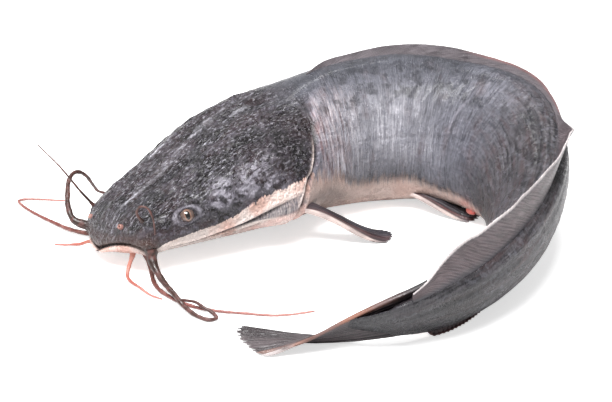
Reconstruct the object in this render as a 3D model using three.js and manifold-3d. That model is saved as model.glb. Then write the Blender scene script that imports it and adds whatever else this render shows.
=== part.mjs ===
// A whole raw catfish of the long-bodied, scaleless kind, lying belly down and bent round to its own left.
// Millimetres, +Z up, the floor at z = 0. The body runs along a plan curve from the snout to the tail-fin root.
// Every place on the fish is given as a share of that curve (0 = snout, 1 = tail-fin root) and an angle round
// the section (0 = the fish's left, 90 = back, 180 = right, 270 = belly), so fins, eyes and feelers follow it.

import * as THREE from 'three';
import { mergeVertices } from 'three/addons/utils/BufferGeometryUtils.js';
import Module from 'manifold-3d';

const wasm = await Module();
wasm.setup();

// ---- Driving sizes ----------------------------------------------------------------------------------------

const BODY_LENGTH = 464; // snout to tail-fin root, along the curve
const HEAD_WIDTH = 106; // widest, at the gill covers
const BACK_RISE = 50; // from the body's axis up to the ridge of the back, at its tallest
const BELLY_DROP = 40.5; // from the body's axis down to the belly, at its deepest
const SNOUT_ROUNDING_PLAN = 25; // length over which the snout's outline rounds off, seen from above
const SNOUT_ROUNDING_SIDE = 14; // the same, seen from the side
const SNOUT_PLACE = new THREE.Vector2(-121, -74); // where the snout's tip lies in plan

const EYE_DIAMETER = 11; // the whole eyeball; about 8 mm of it shows
const EYE_PLACE = { along: 0.083, angle: 14 };
const EYE_PROUD = 1.6; // how far the eyeball stands out of the skin

const DORSAL_HEIGHT = 26; // back fin, along its tallest rays
const DORSAL_THICKNESS = 2.4; // at the root
const ANAL_REACH = 4; // how far the folded anal fin lies out along the floor from its root
const ANAL_THICKNESS = 2.2;
const CAUDAL_LENGTH = 88; // tail fin, root to ragged edge
const CAUDAL_THICKNESS = 3.6;
const PECTORAL_LENGTH = 58; // breast fin, with the spine that leads it
const PECTORAL_WIDTH = 15;
const PECTORAL_THICKNESS = 3.2;
const PELVIC_LENGTH = 44;
const PELVIC_WIDTH = 13;
const PELVIC_THICKNESS = 2.4;
const PAIRED_TIP_HEIGHT = 2; // the paired fins' tips come down to this height over the floor

const MAXILLARY_DIAMETER = 5.0; // the dark feeler at each corner of the mouth
const OUTER_MANDIBULAR_DIAMETER = 3.4; // the outer chin feeler
const INNER_MANDIBULAR_DIAMETER = 3.2; // the inner chin feeler
const NASAL_DIAMETER = 2.2; // the feeler beside each rear nostril
const FEELER_TIP_SHARE = 0.3; // tip diameter as a share of the root's

const CLEARANCE = 0.3; // between pieces that meet
const MARGIN_THICKNESS = 0.9; // a fin's free edge
const FLOOR_GAP = 0.15; // what lies on the floor keeps this much off it
const ROOT_DEPTH = 3; // how far a root is drawn inside the skin before it is trimmed to the skin

const BODY_RINGS = 58;
const BODY_SIDES = 32;
const FEELER_SIDES = 6;
const RADIANS = Math.PI / 180;

// ---- Profiles along the body: rows of [share of the length, value] ----------------------------------------

// Direction of travel from snout to tail, in degrees from +X towards +Y; past 1 it carries on into the tail fin.
const headingRows = [
  [0, 36], [0.12, 34], [0.245, 30], [0.34, 18], [0.43, 0], [0.505, -25], [0.58, -55],
  [0.655, -84], [0.73, -102], [0.81, -119], [0.895, -141], [1, -170], [1.08, -192], [1.2, -198],
];
// Lean of the back towards the fish's right, in degrees.
const leanRows = [[0, 15], [0.25, 10], [0.43, 9], [0.64, 22], [0.77, 25], [0.92, 26], [1, 30], [1.2, 40]];
// Half width as a share of half the head's width.
const widthRows = [
  [0, 0.55], [0.04, 0.7], [0.1, 0.83], [0.17, 0.95], [0.23, 1], [0.27, 0.91], [0.31, 0.82],
  [0.37, 0.73], [0.465, 0.64], [0.555, 0.51], [0.68, 0.39], [0.81, 0.285], [0.915, 0.19], [1, 0.12],
];
// Height of the back as a share of the greatest.
const backRows = [
  [0, 0.16], [0.035, 0.28], [0.1, 0.46], [0.18, 0.69], [0.27, 0.84], [0.345, 0.92], [0.465, 1],
  [0.555, 1], [0.68, 0.86], [0.81, 0.66], [0.915, 0.48], [1, 0.4],
];
// Depth of the belly as a share of the greatest.
const bellyRows = [
  [0, 0.2], [0.035, 0.35], [0.1, 0.48], [0.18, 0.65], [0.27, 0.82], [0.35, 0.98], [0.465, 1],
  [0.555, 0.94], [0.68, 0.82], [0.81, 0.64], [0.915, 0.47], [1, 0.42],
];
// Squareness of the section above and below the axis: 2 is an ellipse, more is flatter.
const backSquareRows = [[0, 2.2], [0.12, 2.6], [0.25, 2.3], [0.33, 1.9], [1, 1.75]];
const bellySquareRows = [[0, 2.6], [0.2, 2.8], [0.31, 2.3], [0.52, 2], [1, 1.8]];
// Height of the section's lowest point over the floor; below 0 the soft belly is pressed flat by the floor.
const undersideRows = [[0, 8], [0.025, 3], [0.055, 0], [0.12, -1], [0.5, -1], [0.56, 2], [0.68, 5], [0.86, 5], [1, 3]];

/** Value of a profile at a share of the length, by monotone cubic steps between its rows. */
function profile(rows, along) {
  const last = rows.length - 1;
  const at = THREE.MathUtils.clamp(along, rows[0][0], rows[last][0]);
  let row = 0;
  while (row < last - 1 && at > rows[row + 1][0]) {
    row += 1;
  }
  const span = (i) => rows[i + 1][0] - rows[i][0];
  const rise = (i) => (rows[i + 1][1] - rows[i][1]) / span(i);
  const slope = (i) => {
    if (i === 0) return rise(0);
    if (i === last) return rise(last - 1);
    if (rise(i - 1) * rise(i) <= 0) return 0;
    const before = 2 * span(i) + span(i - 1);
    const after = span(i) + 2 * span(i - 1);
    return (before + after) / (before / rise(i - 1) + after / rise(i));
  };
  const width = span(row);
  const t = (at - rows[row][0]) / width;
  const stay = 2 * t ** 3 - 3 * t ** 2 + 1;
  const leave = (t ** 3 - 2 * t ** 2 + t) * width;
  const arrive = (t ** 3 - t ** 2) * width;
  return stay * rows[row][1] + leave * slope(row) + (1 - stay) * rows[row + 1][1] + arrive * slope(row + 1);
}

/** Eases from 0 to 1 as x goes from a to b. */
function ease(a, b, x) {
  return THREE.MathUtils.smoothstep(x, a, b);
}

// ---- The body's surface -----------------------------------------------------------------------------------

const SPINE_STEP = 0.002; // share of the length
const spine = [];
{
  const place = SNOUT_PLACE.clone();
  for (let i = 0; i * SPINE_STEP <= 1.2 + SPINE_STEP; i += 1) {
    spine.push(place.clone());
    const heading = profile(headingRows, (i + 0.5) * SPINE_STEP) * RADIANS;
    place.x += Math.cos(heading) * SPINE_STEP * BODY_LENGTH;
    place.y += Math.sin(heading) * SPINE_STEP * BODY_LENGTH;
  }
}

/** Rounds the snout off: 0 at its tip, 1 from the given length on. */
function snoutFactor(along, rounding) {
  const short = Math.max(1 - (along * BODY_LENGTH) / rounding, 0);
  return Math.sqrt(Math.max(1 - short * short, 0));
}

/** Point of the section round the axis, as [towards the fish's left, towards its back], grown by `grow`. */
function sectionPoint(along, angle, grow = 0) {
  const c = Math.cos(angle * RADIANS);
  const s = Math.sin(angle * RADIANS);
  const side = snoutFactor(along, SNOUT_ROUNDING_SIDE);
  const half = (profile(widthRows, along) * HEAD_WIDTH * snoutFactor(along, SNOUT_ROUNDING_PLAN)) / 2;
  const tall = s >= 0 ? profile(backRows, along) * BACK_RISE : profile(bellyRows, along) * BELLY_DROP;
  const power = 2 / profile(s >= 0 ? backSquareRows : bellySquareRows, along);
  const across = (half + grow) * Math.sign(c) * Math.abs(c) ** power;
  const up = (tall * side + grow) * Math.sign(s) * Math.abs(s) ** power;
  return [across, up];
}

/** The body's axis at a share of the length: its place and its tangent, left and back directions. */
function bodyFrame(along) {
  const step = THREE.MathUtils.clamp(along / SPINE_STEP, 0, spine.length - 2);
  const low = Math.floor(step);
  const plan = spine[low].clone().lerp(spine[low + 1], step - low);
  const heading = profile(headingRows, along) * RADIANS;
  const lean = profile(leanRows, along) * RADIANS;
  const tangent = new THREE.Vector3(Math.cos(heading), Math.sin(heading), 0);
  const flatLeft = new THREE.Vector3(Math.sin(heading), -Math.cos(heading), 0);
  const up = new THREE.Vector3(0, 0, 1);
  const left = flatLeft.clone().multiplyScalar(Math.cos(lean)).addScaledVector(up, Math.sin(lean));
  const back = up.clone().multiplyScalar(Math.cos(lean)).addScaledVector(flatLeft, -Math.sin(lean));
  let lowest = 0;
  for (let angle = 180; angle < 360; angle += 7.5) {
    const [across, rise] = sectionPoint(Math.min(along, 1), angle);
    lowest = Math.min(lowest, across * left.z + rise * back.z);
  }
  const place = new THREE.Vector3(plan.x, plan.y, profile(undersideRows, along) - lowest);
  return { place, tangent, left, back };
}

/** Point of the skin, or `off` millimetres outside it. */
function skinPoint(along, angle, off = 0) {
  const frame = bodyFrame(along);
  const [across, up] = sectionPoint(along, angle);
  const away = new THREE.Vector3();
  away.addScaledVector(frame.left, Math.cos(angle * RADIANS));
  away.addScaledVector(frame.back, Math.sin(angle * RADIANS));
  const point = frame.place.addScaledVector(frame.left, across).addScaledVector(frame.back, up);
  return point.addScaledVector(away, off);
}

// ---- Mesh helpers -----------------------------------------------------------------------------------------

/** Geometry from points and triangles. */
function geometryFrom(points, triangles) {
  const geometry = new THREE.BufferGeometry();
  geometry.setAttribute('position', new THREE.Float32BufferAttribute(points.flatMap((p) => [p.x, p.y, p.z]), 3));
  geometry.setIndex(triangles);
  return geometry;
}

/** Closed tube through rings of points, each ring the same number of points, with a fan over each end. */
function tubeGeometry(rings) {
  const sides = rings[0].length;
  const points = rings.flat();
  const triangles = [];
  for (let ring = 0; ring < rings.length - 1; ring += 1) {
    for (let side = 0; side < sides; side += 1) {
      const a = ring * sides + side;
      const b = ring * sides + ((side + 1) % sides);
      triangles.push(a, b, b + sides, a, b + sides, a + sides);
    }
  }
  const centre = (ring) => ring.reduce((sum, p) => sum.add(p), new THREE.Vector3()).divideScalar(sides);
  const first = points.push(centre(rings[0])) - 1;
  const last = points.push(centre(rings[rings.length - 1])) - 1;
  const lastRing = (rings.length - 1) * sides;
  for (let side = 0; side < sides; side += 1) {
    const next = (side + 1) % sides;
    triangles.push(first, next, side);
    triangles.push(last, lastRing + side, lastRing + next);
  }
  return geometryFrom(points, triangles);
}

/** Closed thin plate round a grid of middle points, with the thickness given per grid place. */
function plateGeometry(grid, thickness) {
  const rows = grid.length;
  const columns = grid[0].length;
  const normal = (i, j) => {
    const down = grid[Math.min(i + 1, rows - 1)][j].clone().sub(grid[Math.max(i - 1, 0)][j]);
    const along = grid[i][Math.min(j + 1, columns - 1)].clone().sub(grid[i][Math.max(j - 1, 0)]);
    return down.cross(along).normalize();
  };
  const face = (side) => grid.flatMap((row, i) => row.map((point, j) => {
    const shifted = point.clone().addScaledVector(normal(i, j), (side * thickness(i, j)) / 2);
    shifted.z = Math.max(shifted.z, FLOOR_GAP + (side > 0 ? MARGIN_THICKNESS / 2 : 0));
    return shifted;
  }));
  const points = [...face(1), ...face(-1)];
  const lower = rows * columns;
  const triangles = [];
  const quad = (a, b, c, d) => triangles.push(a, b, c, a, c, d);
  for (let i = 0; i < rows - 1; i += 1) {
    for (let j = 0; j < columns - 1; j += 1) {
      const a = i * columns + j;
      quad(a, a + columns, a + columns + 1, a + 1);
      quad(lower + a, lower + a + 1, lower + a + columns + 1, lower + a + columns);
    }
  }
  for (let i = 0; i < rows - 1; i += 1) {
    const a = i * columns;
    const b = a + columns - 1;
    quad(a, lower + a, lower + a + columns, a + columns);
    quad(b, b + columns, lower + b + columns, lower + b);
  }
  for (let j = 0; j < columns - 1; j += 1) {
    const a = j;
    const b = (rows - 1) * columns + j;
    quad(a, a + 1, lower + a + 1, lower + a);
    quad(b, lower + b, lower + b + 1, b + 1);
  }
  return geometryFrom(points, triangles);
}

/** Solid for boolean work, turned outward if the mesh was inside out. */
function solidFrom(source) {
  const geometry = source.clone();
  geometry.deleteAttribute('normal');
  geometry.deleteAttribute('uv');
  const merged = mergeVertices(geometry, 1e-4);
  const vertProperties = new Float32Array(merged.attributes.position.array);
  const triVerts = new Uint32Array(merged.index.array);
  const corner = (k) => new THREE.Vector3().fromArray(vertProperties, 3 * triVerts[k]);
  let volume = 0;
  for (let k = 0; k < triVerts.length; k += 3) {
    volume += corner(k).dot(corner(k + 1).cross(corner(k + 2)));
  }
  if (volume < 0) {
    for (let k = 0; k < triVerts.length; k += 3) {
      [triVerts[k], triVerts[k + 1]] = [triVerts[k + 1], triVerts[k]];
    }
  }
  return new wasm.Manifold(new wasm.Mesh({ numProp: 3, vertProperties, triVerts }));
}

/** The largest separate part of a solid: what a cut leaves standing. */
function largestPart(solid) {
  return solid.decompose().reduce((best, part) => (part.volume() > best.volume() ? part : best));
}

/** Named mesh of a solid. */
function meshFrom(name, solid, look) {
  const mesh = solid.getMesh();
  const geometry = new THREE.BufferGeometry();
  geometry.setAttribute('position', new THREE.Float32BufferAttribute(mesh.vertProperties, 3));
  geometry.setIndex(new THREE.Uint32BufferAttribute(mesh.triVerts, 1));
  geometry.computeVertexNormals();
  const made = new THREE.Mesh(geometry, new THREE.MeshStandardMaterial(look));
  made.name = name;
  return made;
}

// ---- Body -------------------------------------------------------------------------------------------------

/** The body's solid, grown outward by `grow`; the real one is pressed flat where it lies on the floor. */
function bodySolid(grow) {
  const rings = [];
  for (let i = 0; i < BODY_RINGS; i += 1) {
    const t = i / (BODY_RINGS - 1);
    const along = 0.0006 + (1 - 0.0006) * (0.55 * t + 0.45 * t ** 1.7);
    const frame = bodyFrame(along);
    const ring = [];
    for (let side = 0; side < BODY_SIDES; side += 1) {
      const [across, up] = sectionPoint(along, (360 * side) / BODY_SIDES, grow);
      const point = frame.place.clone();
      point.addScaledVector(frame.left, across).addScaledVector(frame.back, up);
      if (grow > 0 && i === 0) point.addScaledVector(frame.tangent, -grow);
      if (grow > 0 && i === BODY_RINGS - 1) point.addScaledVector(frame.tangent, grow);
      if (grow === 0) point.z = Math.max(point.z, 0);
      ring.push(point);
    }
    rings.push(ring);
  }
  return solidFrom(tubeGeometry(rings));
}

const skinWithClearance = bodySolid(CLEARANCE);

/** A root trimmed to the skin, with the clearance between them. */
function trimmedToSkin(geometry) {
  return largestPart(solidFrom(geometry).subtract(skinWithClearance));
}

// ---- Eyes -------------------------------------------------------------------------------------------------

/** Ball for an eye or its socket, on the fish's left (side = 1) or right (side = -1). */
function eyeBall(side, radius) {
  const angle = side > 0 ? EYE_PLACE.angle : 180 - EYE_PLACE.angle;
  const ball = new THREE.SphereGeometry(radius, 16, 12);
  const centre = skinPoint(EYE_PLACE.along, angle, EYE_PROUD - EYE_DIAMETER / 2);
  ball.translate(centre.x, centre.y, centre.z);
  return solidFrom(ball);
}

const sockets = [1, -1].map((side) => eyeBall(side, EYE_DIAMETER / 2 + CLEARANCE));
const body = sockets.reduce((solid, socket) => solid.subtract(socket), bodySolid(0));

// ---- Fins -------------------------------------------------------------------------------------------------

/** Grid of middle points from a function of (share along the root, share from root to edge). */
function finGrid(steps, rays, point) {
  const grid = [];
  for (let i = 0; i <= steps; i += 1) {
    const row = [];
    for (let j = 0; j <= rays; j += 1) {
      row.push(point(i / steps, j / rays));
    }
    grid.push(row);
  }
  return grid;
}

/** Thickness that falls from the root to the free edge. */
function taper(rootThickness, rays) {
  return (i, j) => THREE.MathUtils.lerp(rootThickness, MARGIN_THICKNESS, Math.sqrt(j / rays));
}

/** Long back fin: laid over to the right along the trunk, and standing up along the tail. */
function dorsalFin() {
  const start = 0.315;
  const end = 0.975;
  const steps = 54;
  const rays = 4;
  // Fold off the body's plane towards the right, in degrees.
  const foldRows = [[0, 62], [0.08, 84], [0.25, 80], [0.38, 78], [0.46, 84], [0.5, 72], [0.55, 28], [0.62, -8], [1, -26]];
  const heightRows = [
    [0, 0.3], [0.03, 0.6], [0.12, 0.7], [0.4, 0.45], [0.5, 0.3], [0.56, 0.5], [0.63, 0.9], [0.7, 1], [0.9, 0.85], [1, 0.1],
  ];
  const rakeRows = [[0, 30], [0.4, 12], [0.55, 15], [0.8, 25], [1, 10]]; // rays sweep towards the tail, in degrees
  const grid = finGrid(steps, rays, (u, v) => {
    const along = THREE.MathUtils.lerp(start, end, u);
    const frame = bodyFrame(along);
    const fold = profile(foldRows, u) * RADIANS;
    const height = profile(heightRows, u) * DORSAL_HEIGHT;
    const outward = frame.back.clone().multiplyScalar(Math.cos(fold)).addScaledVector(frame.left, -Math.sin(fold));
    const root = skinPoint(along, 90, -ROOT_DEPTH);
    root.addScaledVector(frame.back, v * ROOT_DEPTH);
    root.addScaledVector(outward, v * height);
    return root.addScaledVector(frame.tangent, v * height * Math.tan(profile(rakeRows, u) * RADIANS));
  });
  return trimmedToSkin(plateGeometry(grid, taper(DORSAL_THICKNESS, rays)));
}

/** Long anal fin, folded under the tail on to the floor, its edge peeping out on the outer side. */
function analFin() {
  const start = 0.6;
  const end = 0.95;
  const steps = 34;
  const rays = 4;
  const reachRows = [[0, 0.15], [0.15, 0.75], [0.4, 1], [0.85, 1], [1, 0.45]];
  const grid = finGrid(steps, rays, (u, v) => {
    const along = THREE.MathUtils.lerp(start, end, u);
    const frame = bodyFrame(along);
    const root = skinPoint(along, 270, -ROOT_DEPTH);
    const outward = frame.left.clone().setZ(0).normalize().negate();
    const edge = root.clone().addScaledVector(outward, ANAL_REACH * profile(reachRows, u));
    edge.addScaledVector(frame.tangent, ANAL_REACH);
    edge.z = FLOOR_GAP + MARGIN_THICKNESS / 2;
    const point = root.clone().lerp(edge, v);
    point.z = THREE.MathUtils.lerp(root.z, edge.z, Math.min(1, v * 1.6));
    return point;
  });
  return trimmedToSkin(plateGeometry(grid, taper(ANAL_THICKNESS, rays)));
}

/** Tail fin: upright at its root, it leans over to the right and comes down to the floor; its lower part lies flat. */
function caudalFin() {
  const steps = 18;
  const across = 12;
  const foldShare = 0.4; // share of the fan, from its lower edge, that lies flat
  const start = 0.95;
  const upperHeightRows = [[0, 40], [0.25, 33], [0.5, 22], [0.75, 9], [1, 1.5]]; // upper edge over the floor
  const upperSideRows = [[0, 1], [0.4, 2], [0.7, 8], [1, 15]]; // upper edge off the axis, to the right
  const foldSideRows = [[0, 8], [0.4, 8], [0.7, 3], [1, 0]]; // the fold off the axis, to the left
  const lowerWidthRows = [[0, 0], [0.3, 1], [0.6, 6], [1, 10]]; // width of the flat part beyond the fold
  const span = 1 - start + CAUDAL_LENGTH / BODY_LENGTH;
  const grid = finGrid(steps, across, (u, v) => {
    const raggedEnd = 1 - 0.2 * v ** 1.5 - 0.04 * (1 - v) ** 4; // the upper corner ends short
    const frame = bodyFrame(Math.min(start + span * u * raggedEnd, 1.19));
    const right = frame.left.clone().setZ(0).normalize().negate();
    const fold = frame.place.clone().addScaledVector(right, -profile(foldSideRows, u));
    fold.z = THREE.MathUtils.lerp(skinPoint(start, 270).z, FLOOR_GAP + MARGIN_THICKNESS, ease(0.1, 0.6, u));
    if (v < foldShare) {
      return fold.addScaledVector(right, -(1 - v / foldShare) * profile(lowerWidthRows, u));
    }
    const upper = frame.place.clone().addScaledVector(right, profile(upperSideRows, u));
    upper.z = profile(upperHeightRows, u);
    return fold.lerp(upper, (v - foldShare) / (1 - foldShare));
  });
  const thickness = (i) => THREE.MathUtils.lerp(CAUDAL_THICKNESS, MARGIN_THICKNESS, Math.sqrt(i / steps));
  return trimmedToSkin(plateGeometry(grid, thickness));
}

/** Paired fin on the fish's left (side = 1) or right (side = -1): a narrow folded fan behind its root. */
function pairedFin(side, root, length, width, thickness) {
  const steps = 12;
  const across = 5;
  const angleAt = (angle) => (side > 0 ? angle : 180 - angle);
  const frame = bodyFrame(root.along);
  const flatLeft = frame.left.clone().setZ(0).normalize();
  const start = skinPoint(root.along, angleAt(root.angle), -ROOT_DEPTH);
  const grid = finGrid(steps, across, (u, v) => {
    const fan = width * (0.55 + 0.45 * Math.sin(Math.PI * Math.min(u * 0.8, 0.5)));
    const roundedEnd = 1 - 0.16 * (2 * v - 1) ** 2;
    const point = start.clone();
    point.addScaledVector(frame.tangent, u * length * roundedEnd * Math.cos(root.splay * RADIANS));
    point.addScaledVector(flatLeft, side * u * length * Math.sin(root.splay * RADIANS));
    point.addScaledVector(frame.tangent, (v - 0.5) * fan * Math.sin(root.splay * RADIANS) * -1);
    point.addScaledVector(flatLeft, side * (0.5 - v) * fan * Math.cos(root.splay * RADIANS));
    const slant = (v - 0.5) * fan * root.tilt * (1 - u * 0.7);
    point.z = THREE.MathUtils.lerp(start.z, PAIRED_TIP_HEIGHT, ease(0, 1, u)) + slant;
    point.z = Math.max(point.z, FLOOR_GAP + MARGIN_THICKNESS / 2);
    return point;
  });
  const plate = plateGeometry(grid, (i, j) => {
    const tip = Math.sqrt(i / steps);
    const leading = 1 - 0.5 * (j / across);
    return THREE.MathUtils.lerp(thickness * leading, MARGIN_THICKNESS, tip);
  });
  return trimmedToSkin(plate);
}

const pectoralRoot = { along: 0.235, angle: -20, splay: 17, tilt: 0.5 };
const pelvicRoot = { along: 0.455, angle: -50, splay: 8, tilt: 0.4 };

// ---- Feelers ----------------------------------------------------------------------------------------------

// Feelers that cross one another are both laid out from the corner of the mouth on their side.
const leftMouthCorner = { along: 0.036, angle: -26 };
const rightMouthCorner = { along: 0.03, angle: 196 };

/**
 * Tapered feeler from its root in the skin through its points. Each point is [x, y] off `from` in plan, which is
 * the root unless given, and z, the height over the floor, chosen by hand: most of each feeler lies on the floor,
 * and one that passes over another humps over it.
 */
function feeler({ root, from = root, diameter, steps, route }) {
  const start = skinPoint(root.along, root.angle, -ROOT_DEPTH);
  const exit = skinPoint(root.along, root.angle);
  const origin = skinPoint(from.along, from.angle);
  const points = route.map(([x, y, z]) => new THREE.Vector3(origin.x + x, origin.y + y, z));
  const curve = new THREE.CatmullRomCurve3([start, exit, ...points], false, 'centripetal');
  const frames = curve.computeFrenetFrames(steps, false);
  const rings = [];
  for (let i = 0; i <= steps; i += 1) {
    const t = i / steps;
    const radius = (diameter / 2) * THREE.MathUtils.lerp(1, FEELER_TIP_SHARE, t ** 0.6);
    const place = curve.getPointAt(t);
    place.z = Math.max(place.z, radius + FLOOR_GAP);
    const ring = [];
    for (let side = 0; side < FEELER_SIDES; side += 1) {
      const angle = (2 * Math.PI * side) / FEELER_SIDES;
      const point = place.clone().addScaledVector(frames.normals[i], radius * Math.cos(angle));
      ring.push(point.addScaledVector(frames.binormals[i], radius * Math.sin(angle)));
    }
    rings.push(ring);
  }
  return trimmedToSkin(tubeGeometry(rings));
}

const feelers = {
  left_maxillary_barbel: {
    diameter: MAXILLARY_DIAMETER,
    root: leftMouthCorner,
    steps: 34,
    route: [
      [1, -5, 14], [5, -12, 9], [10, -20, 6.5], [15, -28, 5.6], [21, -36, 2.8], [28, -43, 1.4],
      [35, -47, 1.2], [39, -45, 1.4], [36, -41, 2.6], [31, -38, 4.2], [27, -34, 4.6], [23, -30, 3], [18, -26, 1.2],
    ],
  },
  left_outer_mandibular_barbel: {
    diameter: OUTER_MANDIBULAR_DIAMETER,
    root: { along: 0.036, angle: -52 },
    from: leftMouthCorner,
    steps: 38,
    route: [
      [-0.8, 1.4, 6], [1.2, -6.6, 2], [5.2, -15.6, 1.5], [13.2, -24.6, 1.4], [21.2, -30.6, 1.2], [29.2, -34.6, 1.1],
      [40.2, -37.6, 1], [54.2, -39.6, 0.9], [71.2, -41.6, 0.8], [84.2, -39.6, 0.7], [94.2, -36.6, 0.7],
    ],
  },
  left_inner_mandibular_barbel: {
    diameter: INNER_MANDIBULAR_DIAMETER,
    root: { along: 0.024, angle: -54 },
    steps: 20,
    route: [[-2, -2, 6], [-3, -7, 2], [-1, -12, 1.4], [5, -19, 1.2], [12, -27, 1], [19, -31, 0.8]],
  },
  left_nasal_barbel: {
    diameter: NASAL_DIAMETER,
    root: { along: 0.034, angle: 32 },
    steps: 18,
    route: [[-3, -1, 40], [-1, -2, 45], [3, -3, 45], [6, -4, 40], [7, -5, 34], [7, -6, 28], [6, -7, 23]],
  },
  right_maxillary_barbel: {
    diameter: MAXILLARY_DIAMETER,
    root: rightMouthCorner,
    steps: 34,
    route: [
      [-12, 1, 10], [-16, 8, 15], [-17, 16, 20], [-17, 24, 24], [-15, 30, 26], [-12, 34, 25],
      [-8, 38, 20], [-5, 42, 12], [-2, 46, 5], [4, 49, 2], [12, 52, 1.2],
    ],
  },
  right_outer_mandibular_barbel: {
    diameter: OUTER_MANDIBULAR_DIAMETER,
    root: { along: 0.03, angle: 216 },
    from: rightMouthCorner,
    steps: 34,
    route: [
      [-9.3, -0.8, 3], [-17.3, 5.2, 2], [-26.3, 13.2, 1.5], [-35.3, 21.2, 1.3], [-44.3, 30.2, 1.2], [-50.3, 38.2, 1.1],
      [-51.3, 41.2, 1], [-47.3, 43.2, 1], [-38.3, 43.2, 0.9], [-27.3, 42.2, 0.8], [-20.3, 42.2, 0.7],
    ],
  },
  right_inner_mandibular_barbel: {
    diameter: INNER_MANDIBULAR_DIAMETER,
    root: { along: 0.014, angle: 222 },
    steps: 12,
    route: [[-5, 1, 4], [-9, 2, 2], [-14, 3, 1.2], [-19, 3, 1], [-25, 4, 0.8]],
  },
  right_nasal_barbel: {
    diameter: NASAL_DIAMETER,
    root: { along: 0.03, angle: 142 },
    steps: 18,
    route: [[-7, -4, 33], [-12, -6, 42], [-18, -5, 50], [-24, -3, 56], [-31, 0, 62]],
  },
};

// ---- Colours and assembly ---------------------------------------------------------------------------------

const skinLook = { color: 0x4b4c54, roughness: 0.38, metalness: 0 };
const eyeLook = { color: 0xb08a63, roughness: 0.15, metalness: 0 };
const finLook = { color: 0x4a4247, roughness: 0.45, metalness: 0 };
const feelerLook = { color: 0x4a2f2a, roughness: 0.5, metalness: 0 };
const paleFeelerLook = { color: 0xc98a78, roughness: 0.5, metalness: 0 };

const fish = new THREE.Group();
fish.add(meshFrom('body', body, skinLook));
fish.add(meshFrom('dorsal_fin', dorsalFin(), finLook));
fish.add(meshFrom('anal_fin', analFin(), finLook));
fish.add(meshFrom('caudal_fin', caudalFin(), finLook));
for (const [side, label] of [[1, 'left'], [-1, 'right']]) {
  const pectoral = pairedFin(side, pectoralRoot, PECTORAL_LENGTH, PECTORAL_WIDTH, PECTORAL_THICKNESS);
  const pelvic = pairedFin(side, pelvicRoot, PELVIC_LENGTH, PELVIC_WIDTH, PELVIC_THICKNESS);
  fish.add(meshFrom(`${label}_eye`, eyeBall(side, EYE_DIAMETER / 2), eyeLook));
  fish.add(meshFrom(`${label}_pectoral_fin`, pectoral, finLook));
  fish.add(meshFrom(`${label}_pelvic_fin`, pelvic, finLook));
}
for (const [name, shape] of Object.entries(feelers)) {
  fish.add(meshFrom(name, feeler(shape), name.includes('inner') ? paleFeelerLook : feelerLook));
}

// The frame's origin is under the middle of the whole fish, on the floor.
const extent = new THREE.Box3().setFromObject(fish);
const middle = extent.getCenter(new THREE.Vector3());
fish.position.set(-middle.x, -middle.y, -extent.min.z);
const group = new THREE.Group();
group.add(fish);

export default group;
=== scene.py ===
"""Looks of a whole raw catfish, lying belly down and bent round to its own left.

The skin, fins, feelers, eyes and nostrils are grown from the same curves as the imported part, with the folds,
rays and pits that the plain solids leave out. Sizes in the classes are millimetres; meshes are built in metres.
A place on the fish is a share of its length (0 = snout, 1 = tail-fin root) and an angle round the section
(0 = its left, 90 = back, 180 = right, 270 or -90 = belly).
"""

import logging
import math
from dataclasses import dataclass, field
from enum import Enum

import bpy
import numpy as np
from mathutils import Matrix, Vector

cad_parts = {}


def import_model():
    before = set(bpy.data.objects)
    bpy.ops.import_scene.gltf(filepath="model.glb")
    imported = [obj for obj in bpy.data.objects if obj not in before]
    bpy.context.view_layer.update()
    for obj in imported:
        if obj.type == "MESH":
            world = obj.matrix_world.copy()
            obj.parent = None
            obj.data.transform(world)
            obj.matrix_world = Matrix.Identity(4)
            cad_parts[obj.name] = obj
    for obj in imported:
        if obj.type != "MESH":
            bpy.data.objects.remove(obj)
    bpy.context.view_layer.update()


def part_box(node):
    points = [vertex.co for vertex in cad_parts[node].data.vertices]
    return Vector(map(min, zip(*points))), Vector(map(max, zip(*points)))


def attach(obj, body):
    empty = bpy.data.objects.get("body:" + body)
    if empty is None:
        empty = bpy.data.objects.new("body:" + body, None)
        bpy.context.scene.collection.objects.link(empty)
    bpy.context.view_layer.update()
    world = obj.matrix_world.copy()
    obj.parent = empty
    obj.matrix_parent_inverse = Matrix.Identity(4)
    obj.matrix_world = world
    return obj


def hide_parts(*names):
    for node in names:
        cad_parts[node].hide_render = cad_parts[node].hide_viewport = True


LOG = logging.getLogger("catfish")
MM = 0.001
Colour = tuple[float, float, float]


class Side(Enum):
    """The two sides of the fish."""

    LEFT = "left"
    RIGHT = "right"

    def angle(self, angle: float) -> float:
        """Angle given for the left side, as it is on this side."""
        return angle if self is Side.LEFT else 180.0 - angle

    @property
    def sign(self) -> float:
        """1 on the left and -1 on the right."""
        return 1.0 if self is Side.LEFT else -1.0


class EndCap(Enum):
    """How a tube of rings is closed at its ends."""

    FAN = "fan"
    STRIP = "strip"


class Slot(Enum):
    """Material slots of the record."""

    SKIN = "skin"
    FIN = "fin"
    BARBEL = "barbel"
    PALE_BARBEL = "pale_barbel"
    EYE = "eye"


# ---- Curves and unevenness -------------------------------------------------------------------------------


def ease(low: float, high: float, x: np.ndarray) -> np.ndarray:
    """Eases from 0 to 1 as x goes from low to high."""
    t = np.clip((x - low) / (high - low), 0.0, 1.0)
    return t * t * (3.0 - 2.0 * t)


def hump(x: np.ndarray, width: float) -> np.ndarray:
    """Rounded hump, 1 at x = 0 and nearly 0 two widths away."""
    return np.exp(-((x / width) ** 2))


def band(x: np.ndarray, start: float, full: float, fade: float, end: float) -> np.ndarray:
    """Rises from 0 at start to 1 at full, and falls from 1 at fade to 0 at end."""
    return ease(start, full, x) * (1.0 - ease(fade, end, x))


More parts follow.
